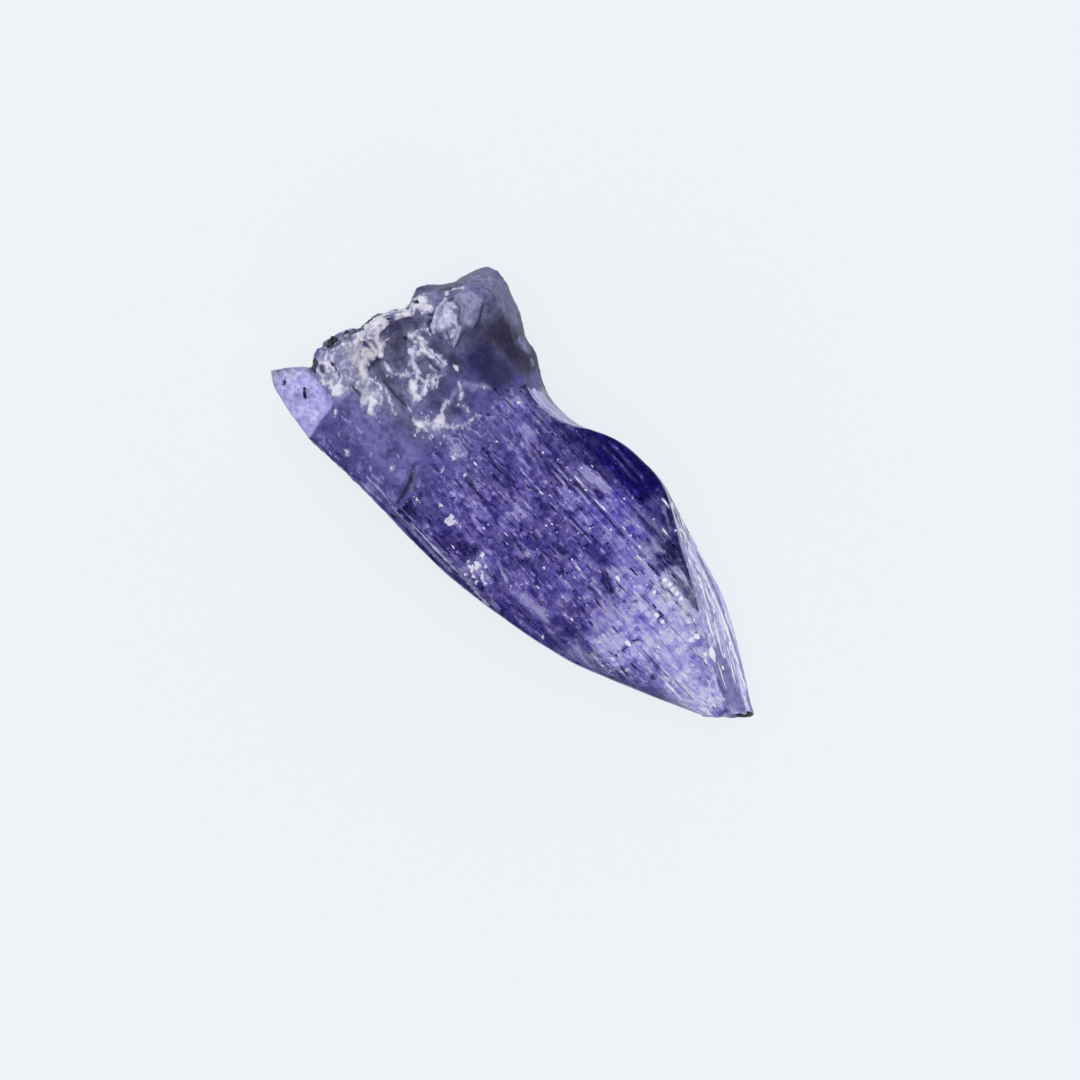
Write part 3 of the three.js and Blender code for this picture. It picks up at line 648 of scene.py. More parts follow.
def place_in(tree):
    """The place on the object, in metres."""
    return add_node(tree, "TexCoord").outputs["Object"]


def grains(tree, scale, detail, roughness):
    """Noise of so many grains per metre along x, y and z."""
    moved = add_node(tree, "Mapping", Vector=place_in(tree), Scale=scale)
    made = add_node(tree, "TexNoise", Vector=moved.outputs[0], Scale=1.0, Detail=detail, Roughness=roughness)
    return made.outputs["Fac"]


def facets(tree, place, scale):
    """A random value, 0 to 1, per little block: so many blocks per metre along x, y and z."""
    moved = add_node(tree, "Mapping", Vector=place, Scale=scale)
    cells = add_node(tree, "TexVoronoi", {"distance": "CHEBYCHEV"}, Vector=moved.outputs[0], Scale=1.0)
    return add_node(tree, "SeparateColor", Color=cells.outputs["Color"]).outputs["Red"]


def tinged(tree, colour, other, share):
    """A colour multiplied by another as far as a share goes: a Mix node's output."""
    made = add_node(tree, "Mix", {"data_type": "RGBA", "blend_type": "MULTIPLY", "clamp_result": True},
                    Factor=share, A=colour, B=(*other, 1))
    return made.outputs["Result"]


def relief(tree, surface, height, strength, depth):
    """Fine relief on a surface from a height, so many mm deep: a Bump node."""
    made = add_node(tree, "Bump", Strength=strength, Distance=depth * MM, Height=height)
    tree.links.new(made.outputs["Normal"], surface.inputs["Normal"])


tanzanite, tree, surface = new_material("tanzanite")
surface.inputs["Transmission Weight"].default_value = 0.92
surface.inputs["IOR"].default_value = 1.69
surface.inputs["Specular Tint"].default_value = (0.42, 0.38, 0.95, 1)
zones = add_node(tree, "Attribute", {"attribute_name": "tint"}).outputs["Color"]
frosted = add_node(tree, "Attribute", {"attribute_name": "frosted"}).outputs["Fac"]
lines = grains(tree, (900.0, 11000.0, 11000.0), detail=2.0, roughness=0.6)
crumbs = grains(tree, (3400.0, 4600.0, 4600.0), detail=3.0, roughness=0.6)

# Little blocks inside the stone, on places that wander by a fraction of a millimetre.
WANDER = (0.3 * MM, 0.15 * MM, 0.15 * MM)
place = place_in(tree)
wander = add_node(tree, "TexNoise", Vector=place, Scale=2600.0, Detail=1.0).outputs["Color"]
bent = add_node(tree, "VectorMath", {"operation": "MULTIPLY_ADD"}, _0=wander, _1=WANDER, _2=place).outputs[0]
long_blocks = facets(tree, bent, (1700.0, 5600.0, 5600.0))
upright_blocks = facets(tree, bent, (4600.0, 2400.0, 2400.0))
glint_blocks = facets(tree, bent, (4200.0, 9000.0, 9000.0))
blocks = maths(tree, "MULTIPLY", long_blocks, 0.26)
blocks = maths(tree, "ADD", blocks, maths(tree, "MULTIPLY", upright_blocks, 0.20))
both = maths(tree, "ADD", maths(tree, "MULTIPLY", lines, 0.28), maths(tree, "MULTIPLY", crumbs, 0.26))
both = maths(tree, "ADD", both, blocks)

# Deep, lit and sparkling blocks, weaker where the stone is frosted or pale. The rare sparkling blocks are
# painted glints.
SHADE_TINT = (0.10, 0.08, 0.32)
LIT = (3.0, 3.2, 2.2)
GLINT_GAIN = (7.0, 7.0, 4.0)
paleness = add_node(tree, "SeparateColor", Color=zones).outputs["Red"]
clear = lessened(tree, lessened(tree, 1.0, frosted, 0.8), paleness, 0.05)
shade = maths(tree, "MULTIPLY", ranged(tree, both, 0.37, 0.47, 0.9, 0.0), clear)
light = maths(tree, "MULTIPLY", ranged(tree, both, 0.545, 0.625), clear)
light = lessened(tree, light, paleness, 0.2)
painted_glint = maths(tree, "MULTIPLY", ranged(tree, glint_blocks, 0.95, 0.96, 0.0, 0.9), clear)
hue = zones
for colour, share in ((SHADE_TINT, shade), (LIT, light), (GLINT_GAIN, painted_glint)):
    hue = tinged(tree, hue, colour, share)
tree.links.new(hue, surface.inputs["Base Color"])
dulled = maths(tree, "MULTIPLY", frosted, 0.22)
rough_here = maths(tree, "ADD", ranged(tree, crumbs, 0.4, 0.6, 0.04, 0.16), dulled)
tree.links.new(rough_here, surface.inputs["Roughness"])
relief(tree, surface, crumbs, strength=0.6, depth=0.05)
absorb = add_node(tree, "VolumeAbsorption", Color=(0.55, 0.50, 0.95, 1), Density=50.0)
tree.links.new(absorb.outputs["Volume"], tree.nodes["Material Output"].inputs["Volume"])


def closed_tube(row_count, around):
    """Quads of a tube of rings and the two fans of triangles that close it on its poles."""
    i, j = np.meshgrid(np.arange(row_count - 1), np.arange(around), indexing="ij")
    here, nxt = i * around + j, i * around + (j + 1) % around
    quads = np.stack([here, nxt, nxt + around, here + around], -1).reshape(-1, 4)
    j = np.arange(around)
    after = (j + 1) % around
    first, last = row_count * around, row_count * around + 1
    fan_a = np.column_stack([np.full(around, first), after, j])
    end = (row_count - 1) * around
    fan_b = np.column_stack([np.full(around, last), end + j, end + after])
    return quads, np.concatenate([fan_a, fan_b])


SHARP_ANGLE = 75


def new_piece(name, points, faces, material, smooth=True):
    """A mesh object at the origin from points in mm, riding on the stone."""
    mesh = bpy.data.meshes.new(name)
    mesh.from_pydata((points * MM).tolist(), [], faces)
    mesh.validate()
    mesh.polygons.foreach_set("use_smooth", [smooth] * len(mesh.polygons))
    if smooth:
        mesh.set_sharp_from_angle(angle=np.radians(SHARP_ANGLE))
    mesh.materials.append(material)
    piece = bpy.data.objects.new(name, mesh)
    bpy.context.scene.collection.objects.link(piece)
    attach(piece, "root")
    return piece


def paint(piece, name, colours):
    """Writes a colour for each point of a piece into its attribute of that name."""
    layer = piece.data.attributes.new(name, "FLOAT_COLOR", "POINT")
    layer.data.foreach_set("color", np.column_stack([colours, np.ones(len(colours))]).ravel())


quads, fans = closed_tube(len(rows), AROUND)
skin_points = np.concatenate([rows.reshape(-1, 3), poles])
crystal = new_piece("crystal", skin_points, quads.tolist() + fans.tolist(), tanzanite)
pole_tint = np.stack([tint[0].mean(0), tint[-1].mean(0)])
paint(crystal, "tint", np.concatenate([tint.reshape(-1, 3), pole_tint]))
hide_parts("tanzanite_crystal")

# ---------------------------------------------------------------- the calcite crust
# White to cream calcite, grown over the broken end in lumps, ribs and thin veins. It follows the
# skin grid: each point stands off the crystal by the crust's thickness there, and the sheet
# closes just under the skin around every patch.

# Each vein: half width, height, whiteness, and its points, in mm.
VEINS = [
    (0.36, 0.24, 1.0, [(-10.35, 2.2), (-10.05, 2.15)]), (0.2, 0.2, 1.0, [(-10.45, 1.75), (-10.3, 1.95)]),
    (0.24, 0.16, 0.3, [(-11.05, -0.35), (-10.5, -0.35), (-10.1, -0.5)]),
    (0.1, 0.12, 1.0, [(-10.1, -0.6), (-9.87, -0.78)]), (0.2, 0.18, 1.0, [(-11.2, 0.9), (-10.75, 1.15)]),
    (0.32, 0.14, 0.1, [(-10.85, -1.1), (-10.2, -1.25)]), (0.1, 0.1, 0.2, [(-10.7, -0.7), (-10.1, -0.85)]),
    (0.4, 0.2, 0.35, [(-10.6, -1.55), (-9.9, -1.8), (-9.3, -2.1), (-8.8, -2.3)]),
    (0.14, 0.27, 1.0, [(-9.72, -1.95), (-9.58, -2.3)]), (0.14, 0.27, 1.0, [(-9.32, -1.9), (-9.2, -2.25)]),
    (0.18, 0.22, 1.0, [(-8.85, -2.2), (-8.5, -2.45), (-8.2, -2.7)]),
    (0.12, 0.12, 0.5, [(-8.75, -1.95), (-8.3, -2.15)]),
    (0.13, 0.1, 0.9, [(-9.4, -0.9), (-9.1, -1.0), (-8.75, -0.75), (-8.4, -0.45)]),
    (0.15, 0.11, 0.95, [(-9.65, 0.82), (-9.4, 1.0), (-8.9, 0.88), (-8.4, 0.8)]),
    (0.08, 0.06, 0.4, [(-9.55, 1.1), (-9.3, 1.4), (-9.05, 1.45)]),
    (0.09, 0.06, 0.6, [(-9.3, 0.9), (-8.6, 0.72), (-7.9, 0.85), (-7.5, 0.75)]),
    (0.06, 0.05, 0.4, [(-8.5, 0.95), (-8.0, 1.05), (-7.6, 0.95)]),
    (0.1, 0.06, 0.4, [(-9.0, 0.3), (-8.6, 0.1), (-8.3, -0.05)]),
    (0.07, 0.06, 0.6, [(-8.0, 0.5), (-7.6, 0.35), (-7.35, 0.1), (-7.5, -0.2)]),
    (0.1, 0.08, 0.7, [(-8.3, 0.0), (-8.0, -0.25), (-7.85, -0.6)]),
    (0.16, 0.1, 0.9, [(-7.95, -0.5), (-7.5, -0.85), (-7.25, -0.8)]),
    (0.08, 0.07, 0.6, [(-7.5, -0.3), (-7.2, -0.55), (-7.3, -0.85)]),
    (0.1, 0.06, 0.3, [(-8.6, -1.6), (-8.1, -1.75), (-7.7, -1.9)]),
    (0.12, 0.07, 0.4, [(-7.9, -1.75), (-7.6, -1.95)]), (0.09, 0.07, 0.6, [(-7.4, -1.45), (-7.15, -1.5)]),
    (0.3, 0.18, 1.0, [(-6.45, -1.5), (-6.1, -1.3), (-5.9, -1.05), (-5.8, -0.85)]),
    (0.2, 0.15, 1.0, [(-5.85, -0.95), (-5.55, -0.7), (-5.4, -0.5)]),
    (0.06, 0.05, 0.7, [(-5.4, -0.45), (-5.05, 0.0), (-5.1, 0.45)]),
    (0.12, 0.08, 0.5, [(-6.4, 0.0), (-6.15, -0.45), (-6.05, -0.8)]),
    (0.06, 0.04, 0.4, [(-5.9, 0.2), (-5.6, 0.35), (-5.35, 0.3)]),
    (0.09, 0.05, 0.3, [(-6.6, 0.9), (-6.3, 0.7), (-6.1, 0.5)]),
    (0.07, 0.05, 0.4, [(-6.2, 1.3), (-5.8, 1.5), (-5.6, 1.4)]),
    (0.06, 0.06, 0.8, [(-9.45, 3.85), (-9.7, 3.5), (-9.8, 3.2)]),
    (0.16, 0.08, 1.0, [(-9.42, 2.85), (-9.38, 2.75)]), (0.07, 0.05, 0.8, [(-9.05, 2.5), (-9.0, 2.3)]),
    (0.05, 0.05, 0.8, [(-8.35, 2.5), (-8.1, 2.1), (-8.0, 1.85)]),
    (0.05, 0.05, 0.8, [(-9.45, 2.0), (-9.2, 1.6)]), (0.2, 0.07, 0.9, [(-11.3, -3.15), (-10.6, -3.3)]),
    (0.24, 0.08, 1.0, [(-10.5, -3.2), (-10.1, -3.05), (-9.85, -3.2)]),
    (0.07, 0.05, 0.9, [(-11.6, -2.4), (-11.1, -2.8), (-10.6, -3.2)]),
    (0.06, 0.05, 0.9, [(-11.2, -2.4), (-10.6, -2.5)]), (0.06, 0.05, 0.9, [(-10.5, -2.5), (-10.0, -2.9)]),
    (0.06, 0.05, 0.9, [(-10.9, -2.6), (-10.4, -2.9)]),
    (0.08, 0.06, 0.8, [(-9.3, -1.75), (-8.9, -1.7), (-8.6, -1.85)]),
    (0.06, 0.05, 0.9, [(-9.4, -3.78), (-9.3, -3.8)]), (0.07, 0.05, 0.9, [(-5.96, -3.65), (-5.9, -3.78)]),
    (0.05, 0.05, 0.8, [(-7.8, -4.68), (-7.7, -4.74)]), (0.06, 0.05, 0.9, [(-5.8, 1.5), (-5.72, 1.55)]),
    (0.07, 0.05, 0.9, [(-7.26, 1.25), (-7.2, 1.28)])]
FILM = [(-12.1, -1.0), (-11.2, -0.8), (-10.4, -1.6), (-9.4, -2.4), (-9.5, -3.3), (-11.8, -3.45)]
NETWORK = [(-9.8, 1.4), (-7.4, 1.2), (-6.9, 0.2), (-7.0, -1.1), (-8.4, -1.2), (-9.0, -0.2), (-9.7, 0.4)]
END_CRUST = 0.27
# The rings of the skin behind the break that the crust of the end face still covers.
END_RINGS = 7
SUNK = 0.01
RIM_RAISED = 0.006
CLEAN_CALCITE = (0.97, 0.97, 1.0)
LAVENDER_CALCITE = (0.62, 0.62, 0.80)
STAINED_CALCITE = (0.66, 0.645, 0.62)
MILKY_SKIN = (0.34, 0.335, 0.50)


def crust_over(p):
    """Thickness of the crust over the skin, its colour, and how milky the crystal is beside it:
    veins drawn on warped places, so that they wander and break up, a film with holes, a net of
    creases, and lumps on the end face."""
    warp = np.stack([fractal(p * 2.6, 71 + k, 4) for k in (0, 6)], -1)
    x, y = p[..., 0] + 0.2 * warp[..., 0], p[..., 1] + 0.2 * warp[..., 1]
    ragged = fractal(p * 3.3, 84, 4)
    crumbly = fractal(p * 8.0, 88, 3)
    height = np.full(x.shape, -1.0)
    white = np.full(x.shape, 0.5)
    crest = np.zeros(x.shape)
    pinch = fractal(p * 1.5, 92, 2)
    front = np.clip(rows_front, 0, 1) > 0.05
    milky = 0.35 * np.maximum(outlined(x, y, NETWORK, 0.6), outlined(x, y, FILM, 0.4)) * front
    for half, top, clean, line in VEINS:
        reach = 2.5 * half + 0.4
        along = np.array(line)
        near = front & (x > along[:, 0].min() - reach) & (x < along[:, 0].max() + reach)
        near &= (y > along[:, 1].min() - reach) & (y < along[:, 1].max() + reach)
        distance = to_line(x[near], y[near], line) / half
        milky[near] = np.maximum(milky[near], 0.8 * np.exp(-((distance / 1.8) ** 2)))
        bare = 0.85 - distance + 0.9 * pinch[near] + 0.5 * ragged[near] + 0.6 * crumbly[near]
        bare = np.maximum(bare, 1.9 * crumbly[near] - 0.35 - 0.3 * distance)
        here = 0.8 * top * np.minimum(bare, 0.9) * (1 + 0.6 * crumbly[near])
        higher = here > height[near]
        white[near] = np.where(higher, clean, white[near])
        crest[near] = np.where(higher, step(bare, -0.1, 0.9), crest[near])
        height[near] = np.maximum(height[near], here)
    creases = 0.8 - 8.0 * np.abs(fractal(p * 1.9, 95, 3)) + 1.0 * crumbly + 0.5 * ragged
    net = 0.05 * np.minimum(creases, 1) - 0.1 * (1 - outlined(x, y, NETWORK, 0.3) * front)
    film = 0.035 * (1.7 * ragged + 1.3 * crumbly - 0.05) - 0.1 * (1 - outlined(x, y, FILM, 0.25) * front)
    thin = np.maximum(net, film)
    white = np.where(thin > height, 0.75, white)
    crest = np.where(thin > height, step(np.maximum(net / 0.05, film / 0.035), 0.0, 1.0) * 0.8, crest)
    on_end = (np.arange(len(x)) < FIRST_BODY_ROW + END_RINGS)[:, None]
    ragged_y = p[..., 1] + 0.3 * ragged
    on_end = on_end * step(ragged_y, -3.1, -2.6) * (1 - step(ragged_y, 2.2, 2.8))
    high_up = 0.4 * step(p[..., 2], 3.6, 5.0) + 0.1
    cover = high_up * step(p[..., 1], -2.4, -1.2) * (1 - step(p[..., 1], 2.0, 3.2)) - 0.1
    patches = on_end * (cover + 1.2 * fractal(p * 1.6, 78, 4) + 0.5 * crumbly) - (1 - on_end)
    ends = END_CRUST * np.minimum(patches, 1) * (0.8 + 0.7 * noise(p * 2.4, 79))
    on_top = ends > np.maximum(height, thin)
    white = np.where(on_top, 1.0, white)
    crest = np.where(on_top, step(patches, 0.0, 0.5), crest)
    # Crests of the crust are painted whiter and its low parts darker, as light and shade on its lumps; at its
    # rim it takes the milky colour of the crystal.
    shaded = np.clip(crest + 0.5 * crumbly + 0.3 * ragged, 0, 1)[..., None]
    stained = lay_all(np.ones(p.shape) * np.array(LAVENDER_CALCITE), [
        (STAINED_CALCITE, 1.5 * heap(x, y, (-10.4, -1.3), (1.5, 1.3))),
        (CLEAN_CALCITE, white + 0.5 * ragged)])
    colour = np.array(MILKY_SKIN) + (stained - MILKY_SKIN) * shaded
    return np.maximum(np.maximum(height, thin), ends), colour, milky


def normals_of(grid):
    """Outward normals of a grid of rings, from the cross of its two directions."""
    along = np.gradient(grid, axis=0)
    around = np.roll(grid, -1, 1) - np.roll(grid, 1, 1)
    normal = np.cross(around, along)
    return normal / np.maximum(np.linalg.norm(normal, axis=-1, keepdims=True), 1e-9)


def sheet_over(grid, normal, height):
    """Closed sheet over the grid where height is above 0, its rim just off the skin, its underside
    sunk in it and a wall around it: its points, its faces, and the grid point each stands on."""
    count, around = height.shape
    i, j = np.meshgrid(np.arange(count - 1), np.arange(around), indexing="ij")
    corners = np.stack([i * around + j, i * around + (j + 1) % around], -1)
    cells = np.concatenate([corners, corners[..., ::-1] + around], -1).reshape(-1, 4)
    up = height.ravel() > 0
    cells = cells[up[cells].any(1)]
    top = grid + normal * np.maximum(height, RIM_RAISED)[..., None]
    under = grid - normal * SUNK
    start, end = cells.ravel(), np.roll(cells, -1, 1).ravel()
    on_rim = ~np.isin(start * up.size + end, end * up.size + start)
    start, end = start[on_rim], end[on_rim]
    wall = np.column_stack([end, start, start + up.size, end + up.size])
    faces = np.concatenate([cells, cells[:, ::-1] + up.size, wall])
    points = np.concatenate([top.reshape(-1, 3), under.reshape(-1, 3)])
    used, faces = np.unique(faces, return_inverse=True)
    return points[used], faces.reshape(-1, 4).tolist(), used % up.size


def dusty(tree, surface, name, shade, sugar, most):
    """Gives a surface the colours of an attribute, darker by a shade between its grains."""
    coat = add_node(tree, "Attribute", {"attribute_name": name}).outputs["Color"]
    dust = tinged(tree, coat, shade, ranged(tree, sugar, 0.36, 0.56, most, 0.0))
    tree.links.new(dust, surface.inputs["Base Color"])


CALCITE_SHADE = (0.50, 0.49, 0.62)
calcite, tree, surface = new_material("calcite_crust")
sugar = grains(tree, (7000.0, 7000.0, 7000.0), detail=4.0, roughness=0.65)
dusty(tree, surface, "crust_colour", CALCITE_SHADE, sugar, most=0.35)
surface.inputs["Roughness"].default_value = 0.75
relief(tree, surface, sugar, strength=0.8, depth=0.04)

outward = normals_of(rows)
middle_front = outward[FIRST_BODY_ROW + RINGS // 2, FRONT_STEPS // 2]
outward = outward * np.sign(middle_front[2])
crust_depth, crust_colour, milky = crust_over(rows)
crust_points, crust_faces, stands_on = sheet_over(rows, outward, crust_depth)
crust = new_piece("calcite_crust", crust_points, crust_faces, calcite)
paint(crust, "crust_colour", crust_colour.reshape(-1, 3)[stands_on])

# Beside the crust the crystal is milky, with calcite in its finest cracks. The crystal is frosted
# as far as it is pale or milky, which is the red of its colour with the milky places laid on it.
MILKY = (0.62, 0.60, 0.82)
milky_tint = lay(tint, MILKY, milky * (0.55 + 0.6 * fractal(rows * 4.0, 98, 3)))
frosted_layer = crystal.data.attributes.new("frosted", "FLOAT", "POINT")
frosted_layer.data.foreach_set("value", np.concatenate([milky_tint[..., 0].ravel(), pole_tint[:, 0]]))

# ---------------------------------------------------------------- the frosted skin
# Bruised places where the crystal is full of tiny cracks and has gone milky or dull: the break
# with its lobe, plates, hollows and corner block, the dull skin that runs on along the lower
# side, the bevel beside the tip, and two slivers. A sheet a hundredth of a millimetre thick.
FROST_HEIGHT = 0.012
BREAK_AREA = [
    (-13.6, 7.5), (-6.0, 7.5), (-3.6, 4.6), (-3.6, 3.45), (-3.9, 2.7), (-4.3, 1.7), (-4.3, 0.7), (-4.6, -0.5),
    (-4.9, -1.5), (-4.8, -2.6), (-4.3, -3.4), (-4.1, -4.3), (-4.1, -7.5), (-13.6, -7.5)]
BREAK_STONE = (0.152, 0.148, 0.265)
NECK_SKIN = (0.088, 0.080, 0.235)
NECK_LOW = (0.118, 0.107, 0.295)
BODY_SKIN = (0.185, 0.177, 0.425)
MEETING_SKIN = (0.112, 0.095, 0.30)
LOW_SKIN = (0.098, 0.086, 0.285)
SIDE_SKIN = (0.125, 0.105, 0.46)
BODY_DARK = (0.045, 0.036, 0.16)
BODY_PALE = (0.26, 0.25, 0.50)
NAVY_SKIN = (0.024, 0.020, 0.088)
HOLLOW_SHADE = (0.034, 0.030, 0.066)
LOBE_SKIN = (0.168, 0.160, 0.305)
LIT_EDGE = (0.30, 0.295, 0.49)
PLATE_SKIN = (0.37, 0.36, 0.51)
PLATE_GREY = (0.15, 0.143, 0.26)
BRIGHT_SKIN = (0.60, 0.61, 0.74)
WHITE_SKIN = (0.72, 0.72, 0.88)
FILM_SKIN = (0.29, 0.285, 0.44)
LILAC_SKIN = (0.56, 0.54, 0.90)
LILAC_DEEP = (0.36, 0.34, 0.68)
LILAC_TIP = (0.42, 0.415, 0.62)
HALO_SKIN = (0.33, 0.325, 0.48)
BEVEL_SKIN = (0.50, 0.505, 0.77)
TIP_SKIN = (0.185, 0.175, 0.38)
SLIVER_SKIN = (0.48, 0.49, 0.71)
NAVY_HOLLOWS = [(-6.2, 2.35, 1.1, 0.65, 1.0), (-7.4, 1.5, 0.5, 0.4, 0.7)]
# Painted shade of the break, in its hollows and gaps and beside its plates, as the cells of the front.
SHADED_HOLLOWS = [
    (-10.05, 1.4, 0.5, 0.5, 0.6), (-9.85, 0.1, 0.95, 0.6, 0.55), (-9.3, -1.15, 0.6, 0.35, 0.6),
    (-7.75, 2.7, 0.35, 0.7, 0.55), (-6.2, 3.75, 1.4, 0.6, 0.95), (-10.1, 3.15, 0.35, 0.25, 0.6),
    (-9.55, 3.7, 0.25, 0.2, 0.4), (-7.4, 0.0, 0.5, 0.5, 0.5), (-8.3, 1.4, 0.8, 0.2, 0.35),
    (-7.2, 3.4, 0.5, 0.6, 0.6), (-7.5, 3.9, 0.5, 0.7, 0.35), (-8.1, 0.35, 0.7, 0.2, 0.4),
    (-11.0, 0.35, 0.4, 0.3, 0.5), (-5.9, 0.0, 0.3, 0.7, 0.5), (-6.5, -0.2, 0.25, 0.35, 0.5)]
# Dark cracks of the break with painted shadows beside its plates and veins, painted highlights on its lit
# edges, and whiter spots of the lower plate with a painted highlight on its right rim, as the grooves.
BREAK_CRACKS = [
    (-8.9, -1.4, -8.2, -1.44, 0.07), (-8.2, -1.44, -7.4, -1.4, 0.06), (-10.0, -0.55, -9.78, -0.95, 0.11),
    (-9.82, -0.95, -9.75, -1.5, 0.11), (-10.75, 1.35, -9.75, 2.2, 0.07), (-9.75, 2.25, -9.35, 1.72, 0.11),
    (-9.35, 1.72, -9.0, 1.5, 0.09), (-9.62, 3.9, -9.85, 3.7, 0.06), (-9.92, 3.5, -9.75, 3.3, 0.07),
    (-8.36, 3.95, -8.05, 3.45, 0.06), (-8.0, 3.4, -7.9, 2.95, 0.06), (-8.1, 2.6, -7.85, 1.9, 0.06),
    (-9.45, 3.3, -9.6, 2.7, 0.05), (-11.1, -0.85, -10.3, -0.95, 0.1), (-10.95, -1.0, -10.9, -1.3, 0.08),
    (-9.7, -2.5, -9.0, -2.55, 0.06), (-8.35, 0.66, -7.6, 0.68, 0.05), (-11.0, -2.5, -10.5, -2.7, 0.13),
    (-11.2, -2.95, -11.0, -3.05, 0.09), (-7.7, 1.5, -6.9, 1.3, 0.06), (-5.4, -2.85, -5.1, -3.35, 0.04),
    (-5.1, -3.35, -4.86, -3.85, 0.055), (-4.86, -3.85, -4.66, -4.55, 0.075)]
BREAK_EDGES = [
    (-9.0, 4.92, -8.85, 4.87, 0.09), (-9.05, 4.36, -8.62, 4.48, 0.06), (-8.62, 4.1, -8.4, 3.68, 0.06),
    (-8.4, 3.68, -8.04, 3.02, 0.055), (-9.9, 1.65, -9.5, 2.0, 0.05), (-9.6, 4.5, -9.2, 4.7, 0.1),
    (-10.5, 1.05, -10.3, 1.25, 0.07), (-6.15, 4.14, -6.0, 4.12, 0.2), (-5.9, 4.12, -5.65, 4.08, 0.13),
    (-5.3, 3.95, -5.1, 3.85, 0.08), (-8.0, -1.0, -7.3, -1.15, 0.12), (-4.95, 2.35, -4.6, 2.25, 0.08),
    (-6.6, 1.0, -6.0, 1.2, 0.12), (-6.5, 0.6, -6.3, 0.1, 0.1), (-5.9, 1.6, -5.5, 1.7, 0.08),
    (-9.3, 0.45, -8.7, 0.35, 0.1), (-9.0, -1.55, -8.3, -1.6, 0.09)]
PLATE_WHITES = [
    (-9.46, 2.85, -9.3, 2.76, 0.13), (-9.08, 2.5, -8.95, 2.32, 0.1), (-9.42, 2.2, -9.1, 1.85, 0.1),
    (-9.12, 1.8, -9.0, 1.62, 0.09), (-8.36, 2.6, -8.15, 2.2, 0.045), (-8.15, 2.2, -7.98, 1.85, 0.045),
    (-9.62, 2.45, -9.42, 2.15, 0.06), (-8.92, 2.25, -8.86, 1.95, 0.07), (-9.65, 2.95, -9.6, 2.7, 0.05)]
# Small bright spots of the skin between the corner block and the crack.
BODY_GLINTS = [
    (-9.4, -3.78, -9.3, -3.8, 0.07), (-7.8, -4.66, -7.7, -4.74, 0.1), (-5.96, -3.6, -5.88, -3.78, 0.07),
    (-9.0, -3.74, -8.5, -3.64, 0.035), (-8.2, -3.6, -7.9, -3.62, 0.03), (-7.0, -3.9, -6.9, -4.0, 0.05),
    (-6.1, -3.1, -6.0, -3.15, 0.04), (-8.6, -4.4, -8.5, -4.42, 0.04), (-6.6, -4.35, -6.5, -4.45, 0.05)]
# Pale lines along the lower edge.
EDGE_LINES = [
    (-8.3, -5.24, -7.3, -5.02, 0.035), (-7.3, -5.02, -6.5, -4.78, 0.05), (-6.5, -4.78, -5.6, -4.7, 0.06),
    (-5.6, -4.7, -4.6, -4.8, 0.045), (-4.6, -4.8, -3.4, -4.84, 0.03), (-7.0, -5.14, -5.2, -5.0, 0.04),
    (-6.3, -4.5, -5.7, -4.44, 0.035), (-3.6, -4.72, 1.2, -4.68, 0.03)]
REFLECTION_WHITE = (0.86, 0.87, 0.98)
# Long white streaks along the bevel beside the tip: painted reflections of the light on its growth steps.
BEVEL_REFLECTIONS = [
    (6.35, 3.12, 8.4, 2.46, 0.05), (8.2, 2.52, 9.5, 1.96, 0.07), (9.4, 1.98, 10.6, 1.46, 0.06),
    (10.5, 1.5, 11.6, 0.98, 0.045), (8.4, 2.35, 9.4, 1.78, 0.05), (6.6, 2.78, 8.2, 2.3, 0.045),
    (5.4, 3.3, 6.6, 2.98, 0.05), (11.2, 0.98, 12.2, 0.5, 0.035)]
BEVEL_GREYS = [
    (6.0, 3.42, 8.0, 2.78, 0.04), (7.9, 2.82, 10.0, 1.86, 0.04), (9.9, 1.9, 12.4, 0.6, 0.035),
    (6.4, 2.9, 8.3, 2.2, 0.035), (4.8, 3.45, 6.4, 2.95, 0.04), (8.0, 2.2, 9.4, 1.45, 0.04)]


